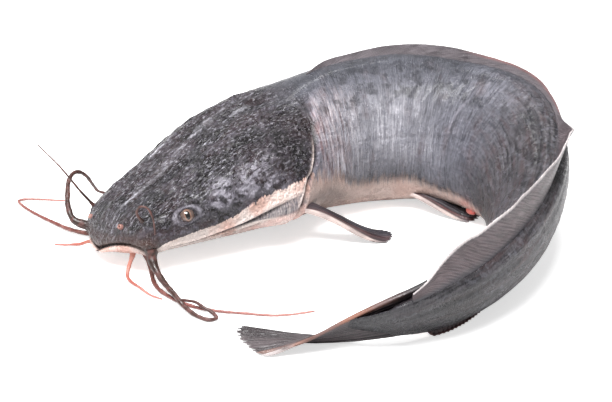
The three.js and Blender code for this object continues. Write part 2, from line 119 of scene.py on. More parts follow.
def lumps(points: np.ndarray, size: float | np.ndarray, seed: int) -> np.ndarray:
    """Smooth repeatable unevenness.

    Args:
        points: Places, with x, y and z in the last axis.
        size: Width of a lump, one for all directions or one for each.
        seed: Picks one pattern.

    Returns:
        A value from -1 to 1 for each place.
    """
    scaled = points / size
    cell = np.floor(scaled).astype(np.int64)
    t = scaled - cell
    t = t * t * (3.0 - 2.0 * t)
    total = np.zeros(points.shape[:-1])
    for corner in range(8):
        step = np.array([corner & 1, corner >> 1 & 1, corner >> 2 & 1])
        at = cell + step
        mixed = (at[..., 0] * 73856093) ^ (at[..., 1] * 19349663) ^ (at[..., 2] * 83492791) ^ (seed * 40503)
        mixed = ((mixed & 0xFFFFFFFF) ^ ((mixed & 0xFFFFFFFF) >> 13)) * 1274126177 & 0xFFFFFFFF
        value = ((mixed ^ (mixed >> 16)) & 0xFFFF) / 32767.5 - 1.0
        total += value * np.prod(np.where(step == 1, t, 1.0 - t), axis=-1)
    return total


def turns(sides: int) -> np.ndarray:
    """Evenly spaced angles round a circle."""
    return 2 * math.pi * np.arange(sides) / sides


@dataclass(frozen=True)
class Profile:
    """Smooth curve through rows of (share, value) that never overshoots them."""

    rows: tuple[tuple[float, float], ...]

    def at(self, share: np.ndarray | float) -> np.ndarray:
        """Value of the curve.

        Args:
            share: Where, held inside the first and last row.

        Returns:
            The value at each share.
        """
        x, y = np.array(self.rows, float).T
        span, rise = np.diff(x), np.diff(y) / np.diff(x)
        slope = np.zeros(len(x))
        slope[0], slope[-1] = rise[0], rise[-1]
        for i in range(1, len(x) - 1):
            if rise[i - 1] * rise[i] > 0:
                before, after = 2 * span[i] + span[i - 1], span[i] + 2 * span[i - 1]
                slope[i] = (before + after) / (before / rise[i - 1] + after / rise[i])
        where = np.clip(np.asarray(share, float), x[0], x[-1])
        row = np.clip(np.searchsorted(x, where, side="left") - 1, 0, len(x) - 2)
        t = (where - x[row]) / span[row]
        stay = 2 * t**3 - 3 * t**2 + 1
        leave = (t**3 - 2 * t**2 + t) * span[row]
        arrive = (t**3 - t**2) * span[row]
        return stay * y[row] + leave * slope[row] + (1 - stay) * y[row + 1] + arrive * slope[row + 1]


# ---- The fish's form -------------------------------------------------------------------------------------


@dataclass
class FishForm:
    """The curve and the sections of the body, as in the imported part."""

    length: float = 464.0
    head_width: float = 106.0
    back_rise: float = 50.0
    belly_drop: float = 40.5
    snout_rounding_plan: float = 25.0
    snout_rounding_side: float = 14.0
    snout_place: tuple[float, float] = (-121.0, -74.0)
    spine_step: float = 0.002
    rings: int = 58
    sides: int = 32
    heading: Profile = Profile(
        ((0, 36), (0.12, 34), (0.245, 30), (0.34, 18), (0.43, 0), (0.505, -25), (0.58, -55), (0.655, -84),
         (0.73, -102), (0.81, -119), (0.895, -141), (1, -170), (1.08, -192), (1.2, -198))
    )
    lean: Profile = Profile(((0, 15), (0.25, 10), (0.43, 9), (0.64, 22), (0.77, 25), (0.92, 26), (1, 30), (1.2, 40)))
    width: Profile = Profile(
        ((0, 0.55), (0.04, 0.7), (0.1, 0.83), (0.17, 0.95), (0.23, 1), (0.27, 0.91), (0.31, 0.82), (0.37, 0.73),
         (0.465, 0.64), (0.555, 0.51), (0.68, 0.39), (0.81, 0.285), (0.915, 0.19), (1, 0.12))
    )
    back: Profile = Profile(
        ((0, 0.16), (0.035, 0.28), (0.1, 0.46), (0.18, 0.69), (0.27, 0.84), (0.345, 0.92), (0.465, 1), (0.555, 1),
         (0.68, 0.86), (0.81, 0.66), (0.915, 0.48), (1, 0.4))
    )
    belly: Profile = Profile(
        ((0, 0.2), (0.035, 0.35), (0.1, 0.48), (0.18, 0.65), (0.27, 0.82), (0.35, 0.98), (0.465, 1), (0.555, 0.94),
         (0.68, 0.82), (0.81, 0.64), (0.915, 0.47), (1, 0.42))
    )
    back_square: Profile = Profile(((0, 2.2), (0.12, 2.6), (0.25, 2.3), (0.33, 1.9), (1, 1.75)))
    belly_square: Profile = Profile(((0, 2.6), (0.2, 2.8), (0.31, 2.3), (0.52, 2), (1, 1.8)))
    underside: Profile = Profile(
        ((0, 8), (0.025, 3), (0.055, 0), (0.12, -1), (0.5, -1), (0.56, 2), (0.68, 5), (0.86, 5), (1, 3))
    )
    shift: np.ndarray = field(default_factory=lambda: np.zeros(3))

    def __post_init__(self) -> None:
        """Lays the spine out in plan."""
        count = int(1.2 / self.spine_step) + 2
        turn = np.radians(self.heading.at((np.arange(count - 1) + 0.5) * self.spine_step))
        step = self.spine_step * self.length * np.stack([np.cos(turn), np.sin(turn)], axis=-1)
        self.spine = np.vstack([[self.snout_place], np.array(self.snout_place) + np.cumsum(step, axis=0)])

    def settle(self) -> None:
        """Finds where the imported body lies, by its lowest corner, and puts this form there."""
        t = np.arange(self.rings) / (self.rings - 1)
        along = (0.0006 + (1 - 0.0006) * (0.55 * t + 0.45 * t**1.7))[:, None]
        points = self.skin(along, 360.0 * np.arange(self.sides)[None, :] / self.sides)
        points[..., 2] = np.maximum(points[..., 2], 0.0)
        low = np.array(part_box("body")[0]) / MM
        self.shift = low - points.reshape(-1, 3).min(axis=0)

    def rounding(self, along: np.ndarray, reach: float) -> np.ndarray:
        """Rounds the snout off: 0 at its tip, 1 from the given reach on."""
        short = np.maximum(1.0 - along * self.length / reach, 0.0)
        return np.sqrt(np.maximum(1.0 - short * short, 0.0))

    def section(self, along: np.ndarray, angle: np.ndarray) -> tuple[np.ndarray, np.ndarray]:
        """Section round the axis.

        Args:
            along: Share of the length.
            angle: Degrees round the section.

        Returns:
            Distance towards the fish's left, and towards its back.
        """
        c, s = np.cos(np.radians(angle)), np.sin(np.radians(angle))
        half = self.width.at(along) * self.head_width * self.rounding(along, self.snout_rounding_plan) / 2
        tall = np.where(s >= 0, self.back.at(along) * self.back_rise, self.belly.at(along) * self.belly_drop)
        tall = tall * self.rounding(along, self.snout_rounding_side)
        power = 2.0 / np.where(s >= 0, self.back_square.at(along), self.belly_square.at(along))
        return half * np.sign(c) * np.abs(c) ** power, tall * np.sign(s) * np.abs(s) ** power

    def frame(self, along: np.ndarray) -> tuple[np.ndarray, np.ndarray, np.ndarray, np.ndarray]:
        """Axis place, and the directions of travel, to the left and to the back.

        Args:
            along: Share of the length, of any shape.

        Returns:
            Place, tangent, left and back, each with x, y and z in a last axis.
        """
        along = np.asarray(along, float)
        step = np.clip(along / self.spine_step, 0, len(self.spine) - 2)
        low = np.minimum(np.floor(step).astype(int), len(self.spine) - 2)
        plan = self.spine[low] + (self.spine[low + 1] - self.spine[low]) * (step - low)[..., None]
        turn, lean = np.radians(self.heading.at(along)), np.radians(self.lean.at(along))
        zero = np.zeros_like(turn)
        tangent = np.stack([np.cos(turn), np.sin(turn), zero], axis=-1)
        flat = np.stack([np.sin(turn), -np.cos(turn), zero], axis=-1)
        up = np.array([0.0, 0.0, 1.0])
        left = flat * np.cos(lean)[..., None] + up * np.sin(lean)[..., None]
        back = up * np.cos(lean)[..., None] - flat * np.sin(lean)[..., None]
        lowest = np.zeros_like(turn)
        for angle in np.arange(180.0, 360.0, 7.5):
            across, rise = self.section(np.minimum(along, 1.0), angle)
            lowest = np.minimum(lowest, across * left[..., 2] + rise * back[..., 2])
        place = np.concatenate([plan, (self.underside.at(along) - lowest)[..., None]], axis=-1)
        return place, tangent, left, back

    def skin(self, along: np.ndarray | float, angle: np.ndarray | float, off: float = 0.0) -> np.ndarray:
        """Places on the skin, in the fish's own millimetres.

        Args:
            along: Share of the length.
            angle: Degrees round the section.
            off: How far outside the skin.

        Returns:
            Places, with x, y and z in the last axis.
        """
        along, angle = np.broadcast_arrays(np.asarray(along, float), np.asarray(angle, float))
        place, _, left, back = self.frame(along)
        across, up = self.section(along, angle)
        c, s = np.cos(np.radians(angle)), np.sin(np.radians(angle))
        return place + left * (across + off * c)[..., None] + back * (up + off * s)[..., None]

    def outward(self, along: float, angle: float) -> np.ndarray:
        """Direction straight out of the skin at one place."""
        a, b = self.skin(along - 0.002, angle), self.skin(along + 0.002, angle)
        c, d = self.skin(along, angle - 2.0), self.skin(along, angle + 2.0)
        normal = np.cross(d - c, b - a)
        normal *= np.sign(normal @ (self.skin(along, angle) - self.frame(along)[0]))
        return normal / np.linalg.norm(normal)


# ---- Meshes ----------------------------------------------------------------------------------------------


def grid_normals(points: np.ndarray) -> np.ndarray:
    """Directions straight out of a closed tube of rings, which may point in or out."""
    down = np.gradient(points, axis=0)
    around = np.roll(points, -1, axis=1) - np.roll(points, 1, axis=1)
    normal = np.cross(around, down)
    return normal / np.maximum(np.linalg.norm(normal, axis=-1, keepdims=True), 1e-9)


@dataclass
class Workshop:
    """Turns rings of places into finished pieces on the fish's one body."""

    form: FishForm
    made: list[str] = field(default_factory=list)

    def piece(
        self,
        name: str,
        rings: np.ndarray,
        finish: bpy.types.Material,
        marks: dict[str, np.ndarray],
        cap: EndCap = EndCap.FAN,
        node: str | None = None,
    ) -> bpy.types.Object:
        """Builds one closed piece.

        Args:
            name: Name of the piece.
            rings: Rings of places in the fish's millimetres, ring by ring.
            finish: Its material.
            marks: Values or vectors at each place that the finish reads, by name.
            cap: How the two ends are closed.
            node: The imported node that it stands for.

        Returns:
            The Blender object.
        """
        count, sides = rings.shape[:2]
        points = (rings.reshape(-1, 3) + self.form.shift) * MM
        ring, side = np.meshgrid(np.arange(count - 1), np.arange(sides), indexing="ij")
        a, b = ring * sides + side, ring * sides + (side + 1) % sides
        faces = np.stack([a, b, b + sides, a + sides], axis=-1).reshape(-1, 4)
        corners, sizes = [faces.ravel()], [np.full(len(faces), 4)]
        last = (count - 1) * sides
        if cap is EndCap.STRIP:
            j = np.arange(sides // 2 - 1)
            strip = np.stack([j, sides - 1 - j, sides - 2 - j, j + 1], axis=-1)
            corners += [strip.ravel(), (strip[:, ::-1] + last).ravel()]
            sizes += [np.full(2 * len(j), 4)]
        else:
            j = np.arange(sides)
            hub = len(points)
            ends = np.stack([points[:sides].mean(axis=0), points[last:].mean(axis=0)])
            points = np.vstack([points, ends])
            first = np.stack([np.full(sides, hub), (j + 1) % sides, j], axis=-1)
            final = np.stack([np.full(sides, hub + 1), last + j, last + (j + 1) % sides], axis=-1)
            corners += [first.ravel(), final.ravel()]
            sizes += [np.full(2 * sides, 3)]
        corners, sizes = np.concatenate(corners), np.concatenate(sizes)
        label = f"{name}_surface" if name == node else name
        mesh = bpy.data.meshes.new(label)
        mesh.vertices.add(len(points))
        mesh.vertices.foreach_set("co", points.astype(np.float32).ravel())
        mesh.loops.add(len(corners))
        mesh.loops.foreach_set("vertex_index", corners.astype(np.int32))
        mesh.polygons.add(len(sizes))
        mesh.polygons.foreach_set("loop_start", np.concatenate([[0], np.cumsum(sizes)[:-1]]).astype(np.int32))
        mesh.polygons.foreach_set("use_smooth", np.ones(len(sizes), bool))
        mesh.update(calc_edges=True)
        for key, values in marks.items():
            self.mark(mesh, key, values, count, sides)
        if self.volume(mesh) < 0:
            mesh.flip_normals()
        mesh.materials.append(finish)
        obj = bpy.data.objects.new(label, mesh)
        bpy.context.scene.collection.objects.link(obj)
        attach(obj, "root")
        if node is not None:
            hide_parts(node)
        self.made.append(name)
        LOG.info("%s: %d faces%s", name, len(sizes), f", stands for {node}" if node else "")
        return obj

    def mark(self, mesh: bpy.types.Mesh, key: str, values: np.ndarray, count: int, sides: int) -> None:
        """Stores a value or a vector at each place of a mesh.

        Args:
            mesh: The mesh.
            key: Name that the finish reads.
            values: Values, as rings by sides, with three more for a vector.
            count: Number of rings.
            sides: Number of places in a ring.
        """
        vector = values.ndim == 3
        size = 3 if vector else 1
        flat = np.broadcast_to(values, (count, sides, 3) if vector else (count, sides)).reshape(-1, size)
        spare = len(mesh.vertices) - len(flat)
        if spare:
            flat = np.vstack([flat, flat[:1], flat[-1:]])
        kept = mesh.attributes.new(key, "FLOAT_VECTOR" if vector else "FLOAT", "POINT")
        kept.data.foreach_set("vector" if vector else "value", flat.astype(np.float32).ravel())

    @staticmethod
    def volume(mesh: bpy.types.Mesh) -> float:
        """Signed volume of a closed mesh: negative when its faces look inward."""
        mesh.calc_loop_triangles()
        co = np.empty(len(mesh.vertices) * 3, np.float32)
        mesh.vertices.foreach_get("co", co)
        tri = np.empty(len(mesh.loop_triangles) * 3, np.int32)
        mesh.loop_triangles.foreach_get("vertices", tri)
        p = co.reshape(-1, 3).astype(float)[tri.reshape(-1, 3)]
        return float(np.einsum("ij,ij->i", p[:, 0], np.cross(p[:, 1], p[:, 2])).sum())


# ---- Finishes --------------------------------------------------------------------------------------------


class Bench:
    """Lays and joins shader nodes in one tree."""

    def __init__(self, tree: bpy.types.NodeTree) -> None:
        """Starts on a tree."""
        self.tree = tree

    def node(self, kind: str, **settings: object) -> bpy.types.Node:
        """New node with its settings."""
        made = self.tree.nodes.new(kind)
        for key, value in settings.items():
            setattr(made, key, value)
        return made

    def feed(self, socket: bpy.types.NodeSocket, value: object) -> None:
        """Joins another socket to this one, or sets its constant."""
        if isinstance(value, bpy.types.NodeSocket):
            self.tree.links.new(value, socket)
        elif isinstance(value, tuple) and socket.type == "RGBA":
            socket.default_value = (*value, 1.0)
        else:
            socket.default_value = value

    def mark(self, name: str, vector: bool = False) -> bpy.types.NodeSocket:
        """Value or vector stored on the mesh."""
        read = self.node("ShaderNodeAttribute", attribute_name=name)
        return read.outputs["Vector" if vector else "Fac"]

    def reckon(self, operation: str, *values: object) -> bpy.types.NodeSocket:
        """Result of an arithmetic node."""
        made = self.node("ShaderNodeMath", operation=operation)
        for socket, value in zip(made.inputs, values):
            self.feed(socket, value)
        return made.outputs[0]

    def times(self, first: object, second: object) -> bpy.types.NodeSocket:
        """Product of two values."""
        return self.reckon("MULTIPLY", first, second)

    def plus(self, first: object, second: object) -> bpy.types.NodeSocket:
        """Sum of two values."""
        return self.reckon("ADD", first, second)

    def ramp(
        self, value: object, low: object, high: object, start: object = 0.0, end: object = 1.0
    ) -> bpy.types.NodeSocket:
        """Value carried smoothly from low..high to start..end, and held there."""
        made = self.node("ShaderNodeMapRange", interpolation_type="SMOOTHSTEP")
        span = {"Value": value, "From Min": low, "From Max": high, "To Min": start, "To Max": end}
        for key, given in span.items():
            self.feed(made.inputs[key], given)
        return made.outputs["Result"]

    def blend(self, share: object, first: object, second: object, mode: str = "MIX") -> bpy.types.NodeSocket:
        """Colour that goes from the first to the second as share goes from 0 to 1."""
        made = self.node("ShaderNodeMix", data_type="RGBA", blend_type=mode)
        self.feed(made.inputs["Factor"], share)
        self.feed(next(s for s in made.inputs if s.name == "A" and s.type == "RGBA"), first)
        self.feed(next(s for s in made.inputs if s.name == "B" and s.type == "RGBA"), second)
        return next(s for s in made.outputs if s.type == "RGBA")

    def noise(self, vector: object, scale: float, detail: float = 3.0, rough: float = 0.55) -> bpy.types.NodeSocket:
        """Cloudy value from about 0.3 to 0.7."""
        made = self.node("ShaderNodeTexNoise")
        self.feed(made.inputs["Vector"], vector)
        made.inputs["Scale"].default_value = scale
        made.inputs["Detail"].default_value = detail
        made.inputs["Roughness"].default_value = rough
        return made.outputs["Fac"]

    def group(self, tree: bpy.types.NodeTree, output: str, **values: object) -> bpy.types.NodeSocket:
        """Output of a shared effect with its own values."""
        made = self.node("ShaderNodeGroup", node_tree=tree)
        for key, value in values.items():
            self.feed(made.inputs[key.replace("_", " ")], value)
        return made.outputs[output]


class Effects:
    """Effects that more than one finish uses, each a group that gives a mask or a height."""

    def __init__(self) -> None:
        """Builds each group once."""
        cut = {"Low": 0.4, "High": 0.6}
        streak_size = {"Along": 1.0, "Around": 1.0}
        self.mottle = self.build("mottle", self.mottle_nodes, {"Place": "vector", "Size": 0.01, **cut})
        self.streaks = self.build("streaks", self.streak_nodes, {"Lay": "vector", **streak_size, **cut})
        self.grain = self.build("wet_grain", self.grain_nodes, {"Place": "vector", "Size": 0.001})

    @staticmethod
    def build(name: str, fill: object, sockets: dict[str, object]) -> bpy.types.NodeTree:
        """Makes a group with named inputs and one output called Mask.

        Args:
            name: Name of the group.
            fill: Lays its nodes, from a bench and its input node to the socket of the mask.
            sockets: Inputs, each "vector" or its usual number.

        Returns:
            The group.
        """
        tree = bpy.data.node_groups.new(name, "ShaderNodeTree")
        for key, usual in sockets.items():
            kind = "NodeSocketVector" if usual == "vector" else "NodeSocketFloat"
            made = tree.interface.new_socket(name=key, in_out="INPUT", socket_type=kind)
            if usual != "vector":
                made.default_value = usual
        tree.interface.new_socket(name="Mask", in_out="OUTPUT", socket_type="NodeSocketFloat")
        bench = Bench(tree)
        inside = bench.node("NodeGroupInput")
        outside = bench.node("NodeGroupOutput")
        bench.feed(outside.inputs["Mask"], fill(bench, inside))
        return tree

    def spots(self, bench: Bench, place: object, size: float, low: float, high: float) -> bpy.types.NodeSocket:
        """Mask of cloudy patches: their size in metres, and the cloud's values where it starts and is full."""
        return bench.group(self.mottle, "Mask", Place=place, Size=size, Low=low, High=high)

    def strokes(
        self, bench: Bench, lay: object, along: float, around: float, low: float, high: float
    ) -> bpy.types.NodeSocket:
        """Mask of streaks: their length along the fish and round it in millimetres, and the same two values."""
        return bench.group(self.streaks, "Mask", Lay=lay, Along=along, Around=around, Low=low, High=high)

    @staticmethod
    def mottle_nodes(bench: Bench, inside: bpy.types.Node) -> bpy.types.NodeSocket:
        """Cloudy patches of a given size in metres."""
        made = bench.node("ShaderNodeTexNoise")
        bench.feed(made.inputs["Vector"], inside.outputs["Place"])
        bench.feed(made.inputs["Scale"], bench.reckon("DIVIDE", 1.0, inside.outputs["Size"]))
        made.inputs["Detail"].default_value = 4.0
        return bench.ramp(made.outputs["Fac"], inside.outputs["Low"], inside.outputs["High"])

    @staticmethod
    def streak_nodes(bench: Bench, inside: bpy.types.Node) -> bpy.types.NodeSocket:
        """Streaks with a given length along the fish and round it, in millimetres."""
        scale = bench.node("ShaderNodeCombineXYZ")
        bench.feed(scale.inputs[0], bench.reckon("DIVIDE", 1.0, inside.outputs["Along"]))
        bench.feed(scale.inputs[1], bench.reckon("DIVIDE", 1.0, inside.outputs["Around"]))
        stretched = bench.node("ShaderNodeVectorMath", operation="MULTIPLY")
        bench.feed(stretched.inputs[0], inside.outputs["Lay"])
        bench.feed(stretched.inputs[1], scale.outputs[0])
        cloudy = bench.noise(stretched.outputs[0], 1.0, 3.0, 0.6)
        return bench.ramp(cloudy, inside.outputs["Low"], inside.outputs["High"])

    @staticmethod
    def grain_nodes(bench: Bench, inside: bpy.types.Node) -> bpy.types.NodeSocket:
        """Small rounded grains, as on wet scaleless skin."""
        cells = bench.node("ShaderNodeTexVoronoi", feature="SMOOTH_F1")
        bench.feed(cells.inputs["Vector"], inside.outputs["Place"])
        bench.feed(cells.inputs["Scale"], bench.reckon("DIVIDE", 1.0, inside.outputs["Size"]))
        cells.inputs["Smoothness"].default_value = 0.6
        fine = bench.node("ShaderNodeTexNoise")
        bench.feed(fine.inputs["Vector"], inside.outputs["Place"])
        bench.feed(fine.inputs["Scale"], bench.reckon("DIVIDE", 0.6, inside.outputs["Size"]))
        rounded = bench.times(cells.outputs["Distance"], -0.8)
        return bench.reckon("MULTIPLY_ADD", fine.outputs["Fac"], 1.2, rounded)


@dataclass(frozen=True)
class Gloss:
    """How wet a finish looks."""

    roughness: float = 0.34
    coat: float = 0.12
    coat_roughness: float = 0.12
    grain_depth: float = 0.0018

    def shader(self, name: str) -> tuple[bpy.types.Material, Bench, bpy.types.Node]:
        """New material with this gloss.

        Args:
            name: Name of the material.

        Returns:
            The material, a bench on its tree, and its shader node.
        """
        material = bpy.data.materials.new(name)
        material.use_nodes = True
        bench = Bench(material.node_tree)
        shader = material.node_tree.nodes["Principled BSDF"]
        shader.inputs["Roughness"].default_value = self.roughness
        shader.inputs["Coat Weight"].default_value = self.coat
        shader.inputs["Coat Roughness"].default_value = self.coat_roughness
        return material, bench, shader

    def raise_grain(self, bench: Bench, shader: bpy.types.Node, height: bpy.types.NodeSocket, strength: float) -> None:
        """Feeds a height to the shader as small relief."""
        made = bench.node("ShaderNodeBump")
        made.inputs["Strength"].default_value = strength
        made.inputs["Distance"].default_value = self.grain_depth
        bench.feed(made.inputs["Height"], height)
        bench.feed(shader.inputs["Normal"], made.outputs["Normal"])


@dataclass(frozen=True)
class SkinFinish:
    """The body's skin: dark marbled head, striated lilac-grey flank, streaked tail and pale underside."""

    effects: Effects
    gloss: Gloss = Gloss()
    head_dark: Colour = (0.009, 0.007, 0.008)
    head_brown: Colour = (0.028, 0.015, 0.018)
    head_lilac: Colour = (0.120, 0.110, 0.138)
    head_glint: Colour = (0.360, 0.350, 0.390)
    cheek_lilac: Colour = (0.330, 0.310, 0.360)
    flank_dark: Colour = (0.066, 0.068, 0.088)
    flank_pale: Colour = (0.350, 0.350, 0.415)
    # Painted highlight colour, for the flank's sheen band and the pale streaks on the skull ridges.
    painted_highlight: Colour = (0.820, 0.800, 0.880)
    # Painted shade and painted highlight for the wrinkles behind the gill covers.
    wrinkle_shade: Colour = (0.085, 0.055, 0.060)
    wrinkle_highlight: Colour = (0.660, 0.570, 0.600)
    trunk_belly: Colour = (0.58, 0.41, 0.36)
    flank_rose: Colour = (0.190, 0.130, 0.135)
    back_dark: Colour = (0.062, 0.065, 0.080)
    back_blot: Colour = (0.024, 0.024, 0.032)
    tail_dark: Colour = (0.018, 0.017, 0.021)
    tail_grey: Colour = (0.132, 0.120, 0.134)
    tail_plum: Colour = (0.085, 0.052, 0.055)
    fold_grey: Colour = (0.120, 0.115, 0.135)
    belly_cream: Colour = (0.92, 0.79, 0.74)
    belly_pink: Colour = (0.74, 0.48, 0.41)
    blush: Colour = (0.45, 0.12, 0.09)
    lip_brown: Colour = (0.055, 0.030, 0.026)
    # Tint for the dark mark: painted shade in the slits, pits and eye grooves, and a dark patch at the back of the
    # head.
    hollow_shade: Colour = (0.30, 0.24, 0.24)

    def material(self) -> bpy.types.Material:
        """The skin's material."""
        material, bench, shader = self.gloss.shader("wet_skin")
        place = bench.node("ShaderNodeTexCoord").outputs["Object"]
        lay = bench.mark("lay", vector=True)
        fine = self.effects.strokes(bench, lay, 1.1, 9.0, 0.25, 0.75)
        colour = self.flank(bench, place, lay)
        colour = bench.blend(bench.ramp(bench.mark("reach"), 0.50, 0.68), colour, self.tail(bench, place, lay))
        colour = bench.blend(self.head_share(bench, place), colour, self.head(bench, place, lay))
        colour = self.underside(bench, place, lay, fine, colour)
        colour = self.touches(bench, place, fine, colour)
        # Painted shade and painted highlight: the colour is darkened where the relief sinks and lightened where it
        # rises.
        relief = bench.ramp(bench.mark("relief"), -1.0, 0.6, 0.55, 1.12)
        bench.feed(shader.inputs["Base Color"], bench.blend(1.0, colour, self.grey(bench, relief), "MULTIPLY"))
        wet = self.effects.spots(bench, place, 0.012, 0.4, 0.6)
        bench.feed(shader.inputs["Roughness"], bench.ramp(wet, 0, 1, 0.20, 0.36))
        coarse = bench.group(self.effects.grain, "Mask", Place=place, Size=0.0019)
        coarse = bench.times(coarse, bench.ramp(bench.mark("gill"), 20.0, -6.0, 0.35, 1.0))
        hair = self.effects.strokes(bench, lay, 0.7, 6.0, 0.3, 0.7)
        self.gloss.raise_grain(bench, shader, bench.plus(coarse, bench.times(hair, 0.4)), 0.9)
        return material

    def underside(self, bench: Bench, place: object, lay: object, fine: object, colour: object) -> bpy.types.NodeSocket:
        """Pale underside over a colour, ragged at its upper edge and redder behind the gill covers."""
        gill = bench.mark("gill")
        jagged = self.effects.strokes(bench, lay, 5.0, 30.0, 0.25, 0.75)
        ragged = bench.plus(bench.times(jagged, 9.0), bench.times(fine, 8.0))
        ragged = bench.times(ragged, bench.ramp(gill, 0.0, 8.0, 0.24, 1.0))
        edge = bench.plus(bench.mark("belly"), ragged)
        pale = bench.ramp(edge, bench.ramp(gill, 0.0, 10.0, 3.0, 14.0), bench.ramp(gill, 0.0, 10.0, 1.8, 2.0))
        cream = bench.blend(self.effects.spots(bench, place, 0.02, 0.42, 0.62), self.belly_cream, self.belly_pink)
        cream = bench.blend(bench.ramp(gill, -2.0, 14.0, 0.0, 0.75), cream, self.trunk_belly)
        return bench.blend(pale, colour, cream)

    def touches(self, bench: Bench, place: object, fine: object, colour: object) -> bpy.types.NodeSocket:
        """Folds, bare edges, blushes, lips, painted shade in the hollows, and light patches with a painted highlight
        along the flank crease, over a colour.
        """
        fold = bench.times(bench.mark("fold"), bench.ramp(fine, 0, 1, 0.6, 1.0))
        colour = bench.blend(fold, colour, self.fold_grey)
        colour = bench.blend(bench.mark("cream"), colour, self.belly_cream)
        veins_and_ridge_highlights = self.effects.spots(bench, place, 0.006, 0.35, 0.6)
        blush = bench.times(bench.mark("blush"), bench.ramp(veins_and_ridge_highlights, 0, 1, 0.35, 1.0))
        colour = bench.blend(blush, colour, self.blush)
        colour = bench.blend(bench.mark("lip"), colour, self.lip_brown)
        # Painted shade: the mouth slit, the groove behind the gill covers, the pits and the grooves round the eyes are
        # darkened, with a dark patch at the back of the head.
        colour = bench.blend(bench.mark("dark"), colour, bench.blend(1.0, colour, self.hollow_shade, "MULTIPLY"))
        # Pale lilac rings round the eyes, and a painted highlight along the crease on the left flank.
        light = bench.times(bench.mark("light"), bench.ramp(fine, 0.2, 0.8, 0.5, 1.0))
        return bench.blend(light, colour, self.cheek_lilac)

    @staticmethod
    def grey(bench: Bench, value: bpy.types.NodeSocket) -> bpy.types.NodeSocket:
        """A value as a grey."""
        made = bench.node("ShaderNodeCombineColor")
        for socket in made.inputs:
            bench.feed(socket, value)
        return made.outputs[0]

    def flank(self, bench: Bench, place: object, lay: object) -> bpy.types.NodeSocket:
        """Lilac-grey flank with fine upright striations and dark clouds, a painted highlight band, and painted
        highlight and shade on the wrinkles behind the gill covers.
        """
        fine = self.effects.strokes(bench, lay, 1.3, 15.0, 0.3, 0.72)
        cloud = self.effects.spots(bench, place, 0.028, 0.36, 0.62)
        speck = self.effects.spots(bench, place, 0.0035, 0.45, 0.62)
        colour = bench.blend(bench.ramp(fine, 0, 1, 0.15, 0.85), self.flank_dark, self.flank_pale)
        wide = self.effects.strokes(bench, lay, 9.0, 60.0, 0.40, 0.62)
        rose = self.effects.strokes(bench, lay, 14.0, 26.0, 0.52, 0.70)
        colour = bench.blend(bench.times(wide, 0.45), colour, self.flank_pale)
        # Painted highlight: the flank is lightened in the sheen band, where the soft light falls on it.
        light = bench.times(bench.mark("sheen"), bench.ramp(bench.times(wide, fine), 0, 0.8, 0.42, 1.0))
        colour = bench.blend(light, colour, self.painted_highlight)
        thick = self.effects.strokes(bench, lay, 2.6, 26.0, 0.50, 0.60)
        thin = self.effects.strokes(bench, lay, 1.7, 20.0, 0.46, 0.56)
        wrinkle = bench.mark("wrinkle")
        # Painted highlight and painted shade: pale and brown upright lines over the wrinkles behind the gill covers.
        colour = bench.blend(bench.times(wrinkle, bench.times(thin, 0.55)), colour, self.wrinkle_highlight)
        colour = bench.blend(bench.times(wrinkle, bench.times(thick, 0.75)), colour, self.wrinkle_shade)
        colour = bench.blend(bench.times(cloud, 0.36), colour, self.back_dark)
        colour = bench.blend(bench.times(rose, 0.45), colour, self.flank_rose)
        colour = bench.blend(bench.times(speck, 0.30), colour, self.flank_pale)
        blot = self.effects.spots(bench, place, 0.0075, 0.48, 0.62)
        blot = bench.times(blot, bench.ramp(bench.mark("lift"), 24.0, 48.0, 0.12, 0.6))
        colour = bench.blend(blot, colour, self.back_blot)
        high = bench.ramp(bench.mark("lift"), 52.0, 82.0)
        return bench.blend(bench.times(high, 0.7), colour, self.back_dark)

    def tail(self, bench: Bench, place: object, lay: object) -> bpy.types.NodeSocket:
        """Grey tail with streaks that run along it, darkened towards its root and along its lower side as painted
        shade.
        """
        fine = self.effects.strokes(bench, lay, 16.0, 1.5, 0.32, 0.68)
        cloud = self.effects.spots(bench, place, 0.022, 0.38, 0.62)
        colour = bench.blend(bench.ramp(fine, 0, 1, 0.0, 0.95), self.tail_dark, self.tail_grey)
        colour = bench.blend(bench.times(cloud, 0.45), colour, self.tail_dark)
        speck = self.effects.spots(bench, place, 0.0030, 0.52, 0.64)
        plum = self.effects.strokes(bench, lay, 22.0, 5.0, 0.48, 0.66)
        colour = bench.blend(bench.times(plum, 0.65), colour, self.tail_plum)
        colour = bench.blend(bench.times(speck, 0.18), colour, self.flank_pale)
        # Painted shade: darker towards the tail-fin root and along the tail's lower side, where it faces down.
        colour = bench.blend(bench.ramp(bench.mark("reach"), 0.86, 0.98, 0.0, 0.7), colour, self.tail_dark)
        return bench.blend(bench.ramp(bench.mark("lift"), 5.0, -45.0, 0.0, 0.75), colour, self.tail_dark)

    def head(self, bench: Bench, place: object, lay: object) -> bpy.types.NodeSocket:
        """Dark marbled head with a lilac speckle, painted glints and crevice shade on its upper side, and pale ridge
        streaks painted as highlights.
        """
        marble = self.effects.spots(bench, place, 0.014, 0.42, 0.60)
        speck = self.effects.spots(bench, place, 0.0022, 0.50, 0.66)
        veil = self.effects.strokes(bench, lay, 11.0, 3.0, 0.48, 0.72)
        patch = self.effects.spots(bench, place, 0.013, 0.46, 0.58)
        colour = bench.blend(marble, self.head_dark, self.head_brown)
        cheek = bench.times(bench.mark("cheek"), bench.ramp(patch, 0, 1, 0.25, 0.9))
        dusted = bench.times(bench.times(patch, 0.42), bench.ramp(speck, 0, 1, 0.5, 1.0))
        colour = bench.blend(dusted, colour, self.head_lilac)
        above = bench.ramp(bench.mark("lift"), 4.0, 30.0)
